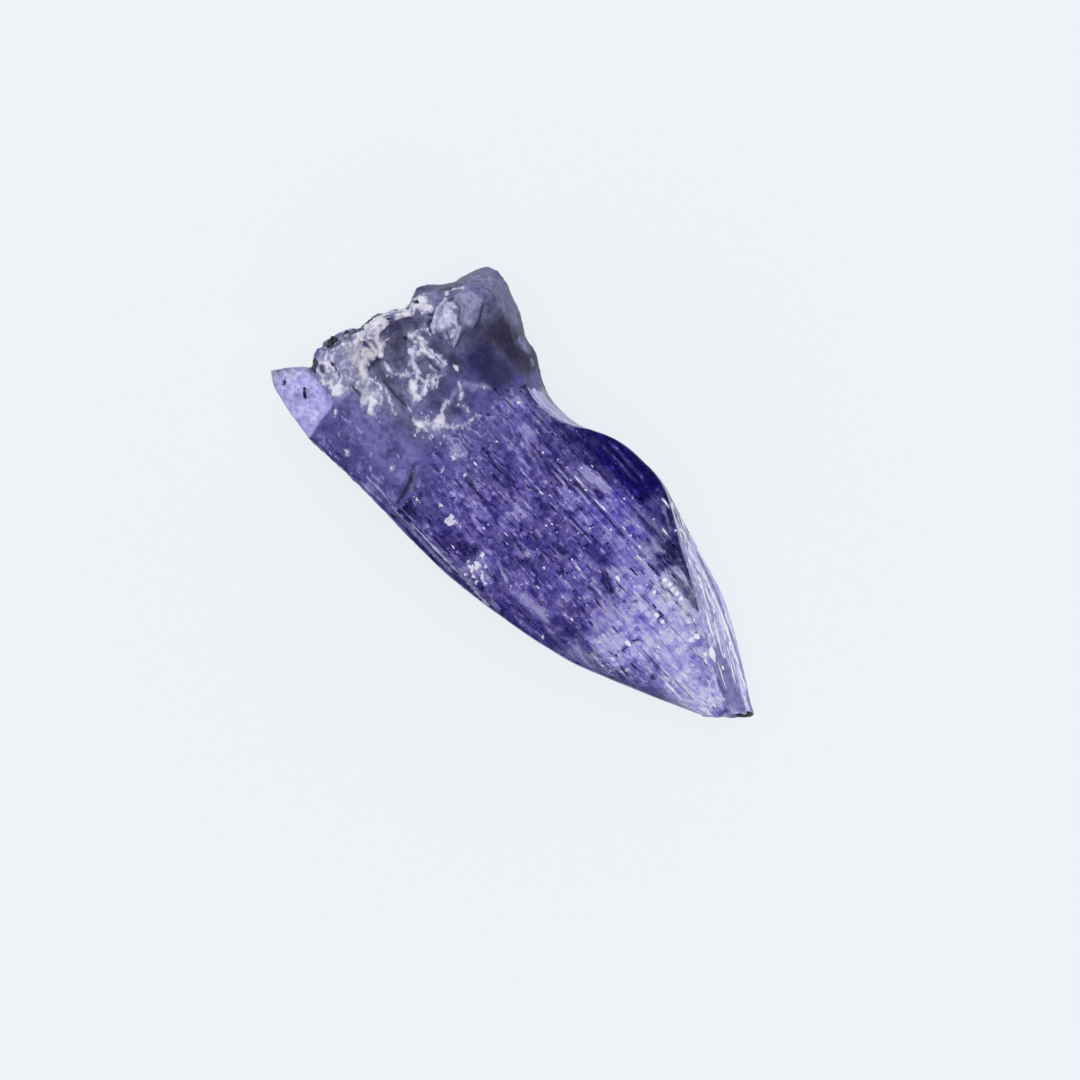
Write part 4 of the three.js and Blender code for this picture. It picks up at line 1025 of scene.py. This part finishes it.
def frost_over(p):
    """Cover and colour of the frosted skin. The break: its stone, hollows, lobe, plates, film and
    corner block, laid one over the other, with cracks; painted shade in its hollows, creases,
    gaps and along its lower rim and steep sides, and painted highlights on its lit edges. Then
    the bevel beside the tip with its streaks of painted reflection, the sliver at the waist and
    the sliver beside the crack, each where its own cover is the fullest. Every cover ends in a
    ragged edge."""
    ragged = fractal(p * 2.2, 111, 4)
    crumbly = fractal(p * 7.0, 115, 3)
    clouds = fractal(p * 1.1, 121, 3)
    net = 1 - step(np.abs(fractal(p * 1.7, 95, 3)), 0.02, 0.13)
    creased = 1 - step(np.abs(fractal(p * 2.1, 131, 4)), 0.0, 0.05)
    raised = 1 - step(np.abs(fractal(p * 2.4, 137, 4)), 0.0, 0.045)
    x, y = p[..., 0] + 0.12 * ragged, p[..., 1] + 0.12 * ragged
    near_x = p[..., 0] + 0.07 * ragged + 0.03 * crumbly
    near_y = p[..., 1] - 0.07 * ragged + 0.03 * crumbly
    front = rows_front > 0.02
    flange = rows_face == FLANGE
    below = (rows_face == LOWER_SIDE) | (rows_face == LOWER_BACK)
    steep_shade = 1 - step(outward[..., 2], 0.05, 0.5)
    block_y = p[..., 1] + 0.2 * ragged * step(p[..., 0], -9.7, -10.1)
    block = outlined(p[..., 0] + 0.06 * ragged, block_y, LILAC_BLOCK, 0.08)
    lower_plate = outlined(near_x, near_y, LOWER_PLATE, 0.06) * front
    colour = np.ones(p.shape) * np.array(BREAK_STONE)
    colour = colour * np.exp(0.7 * clouds + 0.5 * ragged)[..., None]
    neck = step(x + 0.1 * y + 0.3 * clouds, -8.0, -6.3) * (1 - step(y, 2.8, 3.3))
    crumpled = 1 - step(x, -7.4, -5.6)
    body = (1 - step(y, -3.0, -2.4)) * (p[..., 0] > -9.5)
    colour = lay_all(colour, [
        (NECK_SKIN, neck),
        (NECK_LOW, neck * (1 - step(y - 0.4 * x + 0.3 * clouds, 0.6, 2.2))),
        (MEETING_SKIN, step(x + 0.6 * clouds, -6.3, -4.9)),
        (BODY_SKIN, (1 - step(y + 0.25 * clouds, -2.6, -2.0)) * (1 - 0.8 * step(x, -6.3, -4.8))),
        (LOW_SKIN, 1 - step(y + 0.3 * clouds, -4.5, -3.6)),
        (BODY_DARK, 0.6 * body * step(clouds + 0.8 * ragged, 0.25, 0.6)),
        (BODY_PALE, 0.5 * body * step(ragged + 0.6 * crumbly - 0.6 * clouds, 0.35, 0.6)),
        # Painted shade along the lower rim.
        (BODY_DARK, 0.9 * body * (1 - step(rows_low_rim + 0.2 * ragged, 0.04, 0.2))),
        (LILAC_SKIN, 0.7 * strokes(x, y, BODY_GLINTS)),
        (NAVY_SKIN, 0.95 * boxes(x, y, NAVY_HOLLOWS, 0.7)),
        # Painted shade in the hollows and gaps of the break and beside its plates.
        (HOLLOW_SHADE, boxes(x, y, SHADED_HOLLOWS, 0.45)),
        (LOBE_SKIN, step(heap(x, y, (-8.85, 4.95), (1.6, 1.0)), 0.3, 0.75)),
        # Painted shade in the creases of the crumpled skin, and painted highlights on its raised creases.
        (HOLLOW_SHADE, 0.5 * crumpled * creased),
        (LIT_EDGE, 0.35 * raised * (1 - step(x, -8.6, -7.6))),
        (FILM_SKIN, outlined(x, y, FILM, 0.3) * front),
        (WHITE_SKIN, 0.75 * net * outlined(x, y, FILM, 0.3) * front),
        (PLATE_SKIN, outlined(near_x, near_y, UPPER_PLATE, 0.12) * front),
        (BRIGHT_SKIN, lower_plate),
        (PLATE_GREY, 0.85 * lower_plate * step(-crumbly - 0.4 * ragged, 0.05, 0.3)),
        (LILAC_SKIN, block),
        (LILAC_DEEP, 0.6 * block * step(clouds + 0.7 * ragged, 0.05, 0.4)),
        (LILAC_TIP, block * (1 - step(p[..., 0], -12.4, -11.2))),
        (WHITE_SKIN, 0.5 * block * step(-clouds + 0.5 * crumbly, 0.15, 0.55)),
        (HALO_SKIN, 0.8 * milky * (1 - block) * (1 - lower_plate)),
        # Painted shadows with the cracks, painted highlights on the lit edges, and whiter spots of the lower
        # plate.
        (HOLLOW_SHADE, 0.9 * strokes(near_x, near_y, BREAK_CRACKS)),
        (LIT_EDGE, (0.7 + 0.6 * crumbly) * strokes(near_x, near_y, BREAK_EDGES)),
        (WHITE_SKIN, 0.85 * strokes(near_x, near_y, PLATE_WHITES)),
        (SIDE_SKIN, 0.85 * below * step(x + 0.5 * clouds, -7.5, -4.2))])
    # Darker on steep sides: painted shade.
    colour = colour * (1 + 0.3 * ragged + 0.25 * crumbly - 0.4 * steep_shade * (rows_face >= 0))[..., None]
    reached = x - below * (1.2 + 0.9 * clouds) * step(x, -9.0, -6.5)
    cover = 0.9 * outlined(reached, y, BREAK_AREA, 1.8) + 1.3 * outlined(reached, y, BREAK_AREA, 4.0) - 0.45
    cover += 0.7 * ragged + 0.6 * crumbly + 0.8 * clouds + beside(x, y, CRACK, 0.3)
    on_back = np.where(rows_face == LOWER_BACK, 1 - step(rows_across, 0.05, 0.5), rows_face != UNDERSIDE)
    on_back = np.where(rows_face == UPPER_BACK, step(rows_across, 0.5, 0.95), on_back)
    cover = np.where(p[..., 0] < np.where(below, -1.0, -3.0), cover - 2 * (1 - on_back), -1)
    streaky = np.clip(streaks, -1, 1)
    # The bevel is lighter and darker in streaks, with white streaks laid on: painted reflections.
    bevel_colour = np.ones(p.shape) * np.array(BEVEL_SKIN)
    bevel_colour = lay_all(bevel_colour * (1 + 0.34 * streaky + 0.2 * crumbly)[..., None], [
        (TIP_SKIN, 0.85 * outlined(near_x, near_y, TIP_FACE, 0.15)),
        (TIP_SKIN, 0.8 * strokes(p[..., 0], near_y, BEVEL_GREYS)),
        (REFLECTION_WHITE, 0.95 * strokes(p[..., 0], near_y, BEVEL_REFLECTIONS))])
    bevel_mask = flange * step(p[..., 0] + 2 * ragged + 0.6 * streaks, 3.9, 7.0)
    bevel_mask = bevel_mask + 0.3 * streaks * flange * step(p[..., 0] + 2 * ragged, 3.6, 7.0)
    near_ridge = step(rows_across + 0.3 * ragged + 0.12 * streaks, 0.78, 1.0)
    bevel_mask = bevel_mask - 1.2 * near_ridge * (1 - step(p[..., 0], 8.0, 9.2))
    sliver_colour = np.array(SLIVER_SKIN) * (1 + 0.3 * ragged + 0.2 * crumbly + 0.4 * streaky)[..., None]
    waist_mask = flange * outlined(near_x, near_y, SLIVER, 0.3)
    waist_mask = waist_mask + 0.35 * streaks * flange * (1 - step(p[..., 0] + ragged, -1.8, 0.6))
    edge_lines = strokes(p[..., 0], p[..., 1] + 0.06 * ragged, EDGE_LINES)
    edge_mask = (rows_face == FRONT) * (1.1 + ragged) * edge_lines
    for shade, mask in (
            (bevel_colour, bevel_mask),
            (sliver_colour, waist_mask),
            (0.62 * sliver_colour, front * outlined(near_x, near_y, CRACK_SLIVER, 0.06)),
            (0.9 * sliver_colour, edge_mask)):
        here = 1.7 * mask - 0.6 + 0.35 * crumbly * (mask > 0)
        colour = np.where((here > cover)[..., None], shade, colour)
        cover = np.maximum(cover, here)
    return cover, np.clip(colour, 0, 1)


FROST_SHADE = (0.48, 0.46, 0.70)
frosty, tree, surface = new_material("frosted_skin")
sugar = grains(tree, (3500.0, 4500.0, 4500.0), detail=3.0, roughness=0.6)
dusty(tree, surface, "frost_colour", FROST_SHADE, sugar, most=0.7)
surface.inputs["Roughness"].default_value = 0.45
surface.inputs["Specular IOR Level"].default_value = 0.3
relief(tree, surface, sugar, strength=0.6, depth=0.03)
frost_cover, frost_colour = frost_over(rows)
in_block_pits = strokes(rows[..., 0], rows[..., 1], BLOCK_PITS) > 0.3
frost_cover = np.where(in_block_pits | (crust_depth > 0), -1, frost_cover)
frost_depth = np.where(frost_cover > 0, FROST_HEIGHT, -1)
frost_points, frost_faces, stands_on = sheet_over(rows, outward, frost_depth)
frost = new_piece("frosted_skin", frost_points, frost_faces, frosty)
paint(frost, "frost_colour", frost_colour.reshape(-1, 3)[stands_on])

# ---------------------------------------------------------------- the graphite flecks
# Flat black flakes of the graphite rock that the crystal grew in, left on the rim of the break
# and on the chipped tip. Plan places in mm, as the grooves.
FLECKS = [
    (-11.72, -1.75, -11.7, -2.05, 0.15), (-11.55, -3.05, -11.5, -3.14, 0.17),
    (-11.45, -3.22, -11.3, -3.28, 0.06), (-10.4, 1.95, -10.33, 2.02, 0.09),
    (-10.75, 0.55, -10.7, 0.65, 0.05), (-9.7, 0.55, -9.6, 0.56, 0.05),
    (-11.62, -1.1, -11.6, -1.2, 0.06), (12.2, 0.02, 12.4, 0.1, 0.06), (12.45, 0.2, 12.62, 0.4, 0.08)]
FLECK_HEIGHT = 0.05
# The flecks lie above these heights: on the break and on the tip.
FLECKS_OVER, TIP_FLECKS_OVER = 3.4, 2
GRAPHITE_BLACK = (0.006, 0.006, 0.008)
GRAPHITE_SHEEN = (0.05, 0.05, 0.06)


def two_tone(tree, dark, light, share):
    """One colour or another by a share: a Mix node's output."""
    made = add_node(tree, "Mix", {"data_type": "RGBA"}, Factor=share, A=(*dark, 1), B=(*light, 1))
    return made.outputs["Result"]


graphite, tree, surface = new_material("graphite")
scaly = grains(tree, (7000.0, 7000.0, 7000.0), detail=3.0, roughness=0.6)
sheen = two_tone(tree, GRAPHITE_BLACK, GRAPHITE_SHEEN, ranged(tree, scaly, 0.4, 0.7))
tree.links.new(sheen, surface.inputs["Base Color"])
tree.links.new(ranged(tree, scaly, 0.3, 0.7, 0.25, 0.6), surface.inputs["Roughness"])
relief(tree, surface, scaly, strength=0.6, depth=0.03)
high_enough = rows[..., 2] > np.where(rows[..., 0] < 0, FLECKS_OVER, TIP_FLECKS_OVER)
fleck_cover = strokes(rows[..., 0], rows[..., 1], FLECKS) * high_enough
fleck_cover = fleck_cover - 0.4 + 0.25 * fractal(rows * 6.0, 101, 3)
over_crust = np.maximum(crust_depth, 0) + FLECK_HEIGHT * np.minimum(2 * fleck_cover, 1)
fleck_height = np.where(fleck_cover > 0, over_crust, -1)
fleck_points, fleck_faces, _ = sheet_over(rows, outward, fleck_height)
flecks = new_piece("graphite_flecks", fleck_points, fleck_faces, graphite, smooth=False)

# ---------------------------------------------------------------- the cleavage splinters
# Thin slivers of the crystal that have lifted along its cleavage, on the pale bevel and on the
# growth lines. Air has got under them, so they look silvery; their near-white colour is also a
# painted glint, where light would catch the bevel and the growth lines.
GLINT_SPLINTERS = [
    (6.35, 3.12, 7.5, 2.78, 0.05), (7.3, 2.84, 8.4, 2.46, 0.05), (6.0, 3.05, 6.6, 2.9, 0.035),
    (8.2, 2.52, 8.9, 2.24, 0.06), (8.7, 2.32, 9.5, 1.96, 0.07), (9.4, 1.98, 10.1, 1.68, 0.06),
    (10.0, 1.72, 10.7, 1.42, 0.055), (10.6, 1.44, 11.6, 0.98, 0.045), (7.6, 2.55, 8.1, 2.4, 0.035),
    (8.27, 0.98, 8.54, 0.96, 0.13), (8.22, 0.7, 8.46, 0.7, 0.13), (9.14, 1.1, 9.76, 0.78, 0.13),
    (9.12, 0.74, 9.3, 0.7, 0.08), (9.35, 0.55, 9.6, 0.5, 0.05), (10.1, 0.9, 10.3, 0.84, 0.06),
    (6.4, 0.32, 6.62, 0.32, 0.1), (6.8, 0.32, 7.0, 0.32, 0.1), (6.4, -1.41, 6.74, -1.41, 0.1),
    (5.54, 1.6, 5.76, 1.6, 0.1), (5.82, 1.62, 6.02, 1.62, 0.11), (6.08, 1.58, 6.27, 1.58, 0.1),
    (6.34, 1.6, 6.54, 1.6, 0.11), (6.62, 1.58, 6.8, 1.58, 0.1), (5.64, 0.93, 5.8, 0.92, 0.09),
    (4.06, 0.18, 4.32, 0.18, 0.08), (4.36, 3.42, 4.42, 3.38, 0.06), (2.98, 3.92, 3.45, 3.88, 0.045),
    (3.9, 3.05, 4.3, 3.0, 0.04), (-1.32, 1.77, -1.28, 1.77, 0.06), (-3.7, -0.94, -3.45, -0.95, 0.04),
    (9.3, -0.5, 9.32, -0.62, 0.06), (10.78, -0.45, 10.82, -0.6, 0.06), (7.55, -0.52, 7.6, -0.6, 0.07),
    (8.9, -1.37, 10.0, -1.39, 0.035), (7.7, 1.38, 7.88, 1.33, 0.045), (-4.25, 2.22, -4.2, 2.24, 0.05),
    (2.66, -0.76, 2.7, -0.76, 0.04), (0.5, -0.3, 0.62, -0.32, 0.04), (5.2, 0.9, 5.3, 0.9, 0.04),
    (-2.0, 1.5, -1.9, 1.5, 0.05), (-3.7, 0.38, -3.62, 0.36, 0.05), (-0.9, 0.28, -0.6, 0.28, 0.03),
    (4.0, 1.45, 4.4, 1.44, 0.03), (1.0, 1.76, 1.8, 1.76, 0.028), (-0.3, 1.8, 0.3, 1.8, 0.03)]
# More of them, strewn along the bevel beside the tip.
BEVEL_SPLINTERS = 70
spread = rng.random((BEVEL_SPLINTERS, 4))
across_bevel = AROUND - FLANGE_STEPS + (FLANGE_STEPS * (0.05 + 0.9 * spread[:, 0])).astype(int)
start_ring = FIRST_BODY_ROW + (RINGS * (0.68 + 0.27 * spread[:, 1])).astype(int)
ring_span = 2 + (12 * spread[:, 2] ** 2).astype(int)
starts = rows[start_ring, across_bevel]
ends = rows[np.minimum(start_ring + ring_span, FIRST_BODY_ROW + RINGS), across_bevel]
strewn_splinters = np.column_stack([starts[:, :2], ends[:, :2], 0.014 + 0.022 * spread[:, 3]])
# And small ones over the striated front.
FRONT_SPLINTERS = 80
spread = rng.random((FRONT_SPLINTERS, 4))
speck_ring = FIRST_BODY_ROW + (RINGS * (0.55 + 0.34 * spread[:, 0])).astype(int)
starts = rows[speck_ring, (FRONT_STEPS * (0.08 + 0.84 * spread[:, 1])).astype(int)]
speck_long = 0.05 + 0.22 * spread[:, 2] ** 2
specks = np.column_stack([
    starts[:, 0], starts[:, 1], starts[:, 0] + speck_long, starts[:, 1], 0.016 + 0.028 * spread[:, 3] ** 2])
strewn_splinters = np.concatenate([strewn_splinters, specks])
SPLINTER_RAISED = 0.012
SPLINTER_THICK = 0.02
# Outline of a splinter: place along it and width, 0 to 1, from its tail to its head.
SPLINTER_SHAPE = np.array([[0.0, 0.1], [0.12, 0.65], [0.35, 1.0], [0.6, 0.85], [0.85, 0.55], [1.0, 0.12]])
AIR_FILM = (0.86, 0.86, 0.98)
AIR_GLINT = (1.0, 1.0, 1.0)


def skin_under(x, y):
    """Height of the front or the bevel at places in plan: that of the nearest grid point."""
    upper = rows[(rows_face == FRONT) | (rows_face == FLANGE)]
    places = zip(x.ravel(), y.ravel())
    nearest = [np.argmin((upper[:, 0] - a) ** 2 + (upper[:, 1] - b) ** 2) for a, b in places]
    return upper[nearest, 2].reshape(x.shape)


def joined(points, kinds):
    """Many copies of one body as one mesh: their points, and the faces of all of them."""
    first = np.arange(len(points))[:, None, None] * points.shape[1]
    faces = [corners for kind in kinds for corners in (kind + first).reshape(-1, kind.shape[-1]).tolist()]
    return points.reshape(-1, 3), faces


def slivers(marks, raised, thick, shape):
    """Flat slivers, each along its mark: an upper and a lower face on the same outline, whose
    width follows the shape and whose height follows the skin."""
    a, b, half = marks[:, None, 0:2], marks[:, None, 2:4], marks[:, None, 4]
    length = np.linalg.norm(b - a, axis=-1, keepdims=True)
    along = (b - a) / length
    side = np.stack([-along[..., 1], along[..., 0]], -1)
    spine = a + (b - a) * shape[None, :, :1]
    width = (half * shape[None, :, 1])[..., None]
    plan = np.stack([spine - side * width, spine, spine + side * width], 2)
    ground = skin_under(plan[..., 0], plan[..., 1])
    ground = np.maximum(ground, ground.mean(2, keepdims=True))
    crown = np.array([0.0, thick, 0.0])
    upper = np.concatenate([plan, (ground + raised + crown)[..., None]], -1)
    lower = np.concatenate([plan, (ground - thick)[..., None]], -1)
    points = np.concatenate([upper, lower], 2)
    count, rings = points.shape[1], points.shape[2]
    loop = np.array([0, 1, 2, 5, 4, 3])
    i, j = np.meshgrid(np.arange(count - 1), np.arange(rings), indexing="ij")
    here, nxt = i * rings + loop[j], i * rings + loop[(j + 1) % rings]
    quads = np.stack([here, here + rings, nxt + rings, nxt], -1).reshape(-1, 4)
    caps = np.array([loop, loop[::-1] + (count - 1) * rings])
    return joined(points.reshape(len(marks), -1, 3), (quads, caps))


glinting_silver, tree, surface = new_material("cleavage_silver")
filmy = grains(tree, (2500.0, 8000.0, 8000.0), detail=3.0, roughness=0.6)
film_tone = two_tone(tree, AIR_FILM, AIR_GLINT, ranged(tree, filmy, 0.35, 0.6))
tree.links.new(film_tone, surface.inputs["Base Color"])
tree.links.new(ranged(tree, filmy, 0.3, 0.7, 0.12, 0.35), surface.inputs["Roughness"])
splinter_marks = np.concatenate([np.array(GLINT_SPLINTERS), strewn_splinters])
splinter_points, splinter_faces = slivers(splinter_marks, SPLINTER_RAISED, SPLINTER_THICK, SPLINTER_SHAPE)
splinters = new_piece("cleavage_splinters", splinter_points, splinter_faces, glinting_silver, smooth=False)

# ---------------------------------------------------------------- the calcite grains
# Specks of the same calcite further along the crystal, each a little pile of angular chips.
# Plan places in mm: the two ends of each pile and how far it spreads to the sides.
GRAINS = [
    (-4.4, -3.8, -4.0, -3.86, 0.05), (-3.58, -1.5, -3.5, -1.7, 0.05), (-4.5, -1.3, -4.42, -1.5, 0.07),
    (-4.38, -2.1, -4.3, -2.25, 0.05), (-3.34, -3.24, -3.26, -3.26, 0.06), (-2.74, -3.42, -2.45, -3.36, 0.15),
    (-2.8, -3.58, -2.5, -3.54, 0.06), (-2.35, -3.26, -2.0, -3.24, 0.04), (-0.55, -3.35, -0.45, -3.5, 0.07),
    (-0.38, -3.75, -0.3, -4.05, 0.12), (-0.5, -4.22, -0.35, -4.1, 0.1), (-0.15, -4.3, -0.1, -4.36, 0.06),
    (0.0, -3.95, 0.2, -4.05, 0.08), (0.35, -4.1, 0.5, -4.2, 0.06), (-0.1, -3.6, -0.05, -3.66, 0.05),
    (-0.75, -4.0, -0.7, -4.1, 0.05), (0.15, -4.3, 0.2, -4.36, 0.05), (-0.45, -4.5, -0.35, -4.52, 0.06),
    (0.8, -3.3, 1.05, -3.45, 0.035), (1.3, -3.4, 1.4, -3.55, 0.035), (3.8, -3.9, 3.9, -3.94, 0.05),
    (3.12, -2.1, 3.2, -2.12, 0.04), (-4.26, 2.2, -4.2, 2.26, 0.05), (1.7, -1.84, 1.74, -1.84, 0.05),
    (0.1, -4.4, 0.2, -4.45, 0.05)]
CHIPS_EACH = 9
CHIP_RAISED = 0.012
CHIP_THICK = 0.03
CHIP_SHAPE = np.array([[0.0, 0.5], [0.25, 0.95], [0.5, 0.75], [0.75, 1.0], [1.0, 0.4]])
pile = np.repeat(np.array(GRAINS), CHIPS_EACH, axis=0)
spread = rng.random((len(pile), 7))
spill = pile[:, 4:5]
chip_middle = pile[:, 0:2] + (pile[:, 2:4] - pile[:, 0:2]) * spread[:, 0:1]
chip_middle = chip_middle + spill * (1.8 * spread[:, 1:3] - 0.9)
chip_turn = np.pi * spread[:, 3]
chip_reach = spill * (0.45 + 0.55 * spread[:, 4:5]) * np.column_stack([np.cos(chip_turn), np.sin(chip_turn)])
chip_half = pile[:, 4] * (0.32 + 0.4 * spread[:, 5])
chips = np.column_stack([chip_middle - chip_reach, chip_middle + chip_reach, chip_half])
chip_points, chip_faces = slivers(chips, CHIP_RAISED, CHIP_THICK, CHIP_SHAPE)
piles = new_piece("calcite_grains", chip_points, chip_faces, calcite, smooth=False)
chip_colour = lay(np.array(LAVENDER_CALCITE), CLEAN_CALCITE, spread[:, 6] ** 0.5)
paint(piles, "crust_colour", np.repeat(chip_colour, len(chip_points) // len(chips), axis=0))

# ---------------------------------------------------------------- the etch pits
# Sharp little pits and slots that water has eaten into the striated front along its growth
# lines. Light that goes in doesn't come back, so their floors look dark indigo: each is a thin
# dark sheet lying in its pit, painted shade.
PITS = 110
PIT_RAISED = 0.004
PIT_THICK = 0.004
PIT_SHAPE = np.array([[0.0, 0.55], [0.08, 0.95], [0.35, 0.85], [0.65, 1.0], [0.92, 0.8], [1.0, 0.45]])
DRAWN_PITS_FROM, DRAWN_PITS_UNDER = 0.05, 2.2
PIT_DARK = (0.018, 0.012, 0.09)
PIT_LIT = (0.10, 0.08, 0.30)
spread = rng.random((PITS, 5))
middle_third = spread[:, 4] < 0.75
pit_ring = np.where(middle_third, 0.56 + 0.14 * (spread[:, 0] + spread[:, 1] - 1), 0.32 + 0.56 * spread[:, 0])
pit_ring = FIRST_BODY_ROW + (RINGS * pit_ring).astype(int)
pit_start = rows[pit_ring, (FRONT_STEPS * (0.08 + 0.84 * spread[:, 2])).astype(int)]
pit_x, pit_y = pit_start[:, 0], pit_start[:, 1]
upright = spread[:, 4] % 0.25 < 0.05
pit_long = 0.06 + 0.4 * spread[:, 3] ** 2
pit_half = 0.02 + 0.035 * (spread[:, 3] * 7 % 1) ** 1.5
along_x, along_y = np.where(upright, 0.04, pit_long), np.where(upright, 0.6 * pit_long, 0.0)
strewn_pits = np.column_stack([pit_x, pit_y, pit_x + along_x, pit_y + along_y, pit_half])
# The wider and shorter grooves have a floor of this kind too, a little narrower than they are.
drawn_pits = np.array([
    mark for mark in GROOVES if mark[4] >= DRAWN_PITS_FROM and abs(mark[2] - mark[0]) < DRAWN_PITS_UNDER])
drawn_pits[:, 4] *= 0.75
pit_floor, tree, surface = new_material("etch_pit")
surface.inputs["Roughness"].default_value = 0.5
surface.inputs["Specular IOR Level"].default_value = 0.15
mottled = grains(tree, (5000.0, 12000.0, 12000.0), detail=2.0, roughness=0.5)
pit_tone = two_tone(tree, PIT_DARK, PIT_LIT, ranged(tree, mottled, 0.48, 0.66))
tree.links.new(pit_tone, surface.inputs["Base Color"])
pit_marks = np.concatenate([drawn_pits, strewn_pits])
pit_points, pit_faces = slivers(pit_marks, PIT_RAISED, PIT_THICK, PIT_SHAPE)
pits = new_piece("etch_pits", pit_points, pit_faces, pit_floor, smooth=False)

# ---------------------------------------------------------------- the growth tubes
# Fine hollow needles that the crystal closed in as it grew, lying along its length just under
# the striated front. Each is a six-sided spindle.
TUBES = 260
SIDES = 6
# Place along half a tube and share of its full width, at each of its rings.
TUBE_PROFILE = np.array([[-0.8, 0.6], [-0.3, 1.0], [0.3, 1.0], [0.8, 0.6]])
TUBE_DARK = (0.012, 0.008, 0.10)
TUBE_LIT = (0.10, 0.08, 0.35)
spread = rng.random((TUBES, 6))
ring_at = (FIRST_BODY_ROW + RINGS * (0.34 + 0.5 * spread[:, 0])).astype(int)
around_at = (FRONT_STEPS * (0.04 + 0.92 * spread[:, 1])).astype(int)
under_skin = 0.1 + 0.5 * spread[:, 2] ** 2
tube_middle = rows[ring_at, around_at] - outward[ring_at, around_at] * under_skin[:, None]
tube_half = 0.06 + 0.4 * spread[:, 3] ** 2
tube_radius = 0.012 + 0.025 * spread[:, 4] ** 2


def spindles(middle, half, radius):
    """Spindles along x: rings of SIDES points on a profile of place and width, closed at two tips."""
    turn = 2 * np.pi * np.arange(SIDES) / SIDES
    along = half[:, None, None] * TUBE_PROFILE[None, :, None, 0] * np.ones(SIDES)
    width = radius[:, None, None] * TUBE_PROFILE[None, :, None, 1]
    ring = np.stack([along, width * np.cos(turn), width * np.sin(turn)], -1).reshape(len(half), -1, 3)
    tip = np.stack([half, 0 * half, 0 * half], -1)[:, None, :]
    points = np.concatenate([ring, -tip, tip], 1) + middle[:, None, :]
    return joined(points, closed_tube(len(TUBE_PROFILE), SIDES))


needle, tree, surface = new_material("growth_tube")
surface.inputs["Roughness"].default_value = 0.35
filled = grains(tree, (2500.0, 2500.0, 2500.0), detail=2.0, roughness=0.5)
tube_tone = two_tone(tree, TUBE_DARK, TUBE_LIT, ranged(tree, filled, 0.45, 0.6))
tree.links.new(tube_tone, surface.inputs["Base Color"])
tube_points, tube_faces = spindles(tube_middle, tube_half, tube_radius)
tubes = new_piece("growth_tubes", tube_points, tube_faces, needle)

# ---------------------------------------------------------------- the table and the light
# A plain pale table, softly lit from below as a gem table is, under wide soft light.
TABLE_HALF = 3
TABLE_TOP = -0.03 * MM
corners = [(TABLE_HALF * x, TABLE_HALF * y, TABLE_TOP) for x, y in ((-1, -1), (1, -1), (1, 1), (-1, 1))]
table_mesh = bpy.data.meshes.new("table")
table_mesh.from_pydata(corners, [], [(0, 1, 2, 3)])
table = bpy.data.objects.new("table", table_mesh)
bpy.context.scene.collection.objects.link(table)
table_paint, tree, surface = new_material("table_paint")
surface.inputs["Base Color"].default_value = (0.13, 0.135, 0.14, 1)
surface.inputs["Roughness"].default_value = 0.9
surface.inputs["Specular IOR Level"].default_value = 0.1
surface.inputs["Emission Color"].default_value = (0.92, 0.965, 1.0, 1)
surface.inputs["Emission Strength"].default_value = 0.81
table_mesh.materials.append(table_paint)

world = bpy.data.worlds.new("studio")
world.use_nodes = True
sky = world.node_tree
# Grey from all round, and a deep blue from straight above, where it starts and is full by height.
ROUND_ABOUT = (0.78, 0.79, 0.80)
OVERHEAD = (0.06, 0.055, 0.26)
OVERHEAD_FROM, OVERHEAD_FULL = 0.25, 0.6
upward = add_node(sky, "SeparateXYZ", Vector=add_node(sky, "TexCoord").outputs["Generated"]).outputs["Z"]
glow = two_tone(sky, ROUND_ABOUT, OVERHEAD, ranged(sky, upward, OVERHEAD_FROM, OVERHEAD_FULL))
sky.links.new(glow, sky.nodes["Background"].inputs["Color"])
bpy.context.scene.world = world


def softbox(name, place, turn, size, watts):
    """A rectangular area light; its turn is in degrees and its size in metres."""
    lamp = bpy.data.lights.new(name, "AREA")
    lamp.shape = "RECTANGLE"
    lamp.size, lamp.size_y = size
    lamp.energy = watts
    holder = bpy.data.objects.new(name, lamp)
    holder.location = place
    holder.rotation_euler = np.radians(turn)
    bpy.context.scene.collection.objects.link(holder)
    return holder


softbox("window", (-0.10, 0.28, 0.30), turn=(-45, 0, 20), size=(0.05, 0.05), watts=0.1)
softbox("fill", (0.30, -0.10, 0.25), turn=(0, 52, 0), size=(0.05, 0.08), watts=0.05)
ceiling = softbox("ceiling", (0, 0, 0.9), turn=(0, 0, 0), size=(1.2, 1.2), watts=7.5)
ceiling.visible_glossy = False
ceiling.data.color = (1.0, 0.985, 0.86)

# The camera looks straight down, turned about its own axis.
CAMERA_PLACE = (0.707 * MM, -1.148 * MM, 0.2035)
CAMERA_TURN = 47
LENS_MM = 153.3
SENSOR_MM = 36
camera_data = bpy.data.cameras.new("camera")
camera_data.sensor_width = SENSOR_MM
camera_data.lens = LENS_MM
camera_data.clip_start = 0.01
camera = bpy.data.objects.new("camera", camera_data)
camera.location = CAMERA_PLACE
camera.rotation_euler = (0, 0, np.radians(CAMERA_TURN))
bpy.context.scene.collection.objects.link(camera)
bpy.context.scene.camera = camera
bpy.context.scene.view_settings.view_transform = "Standard"
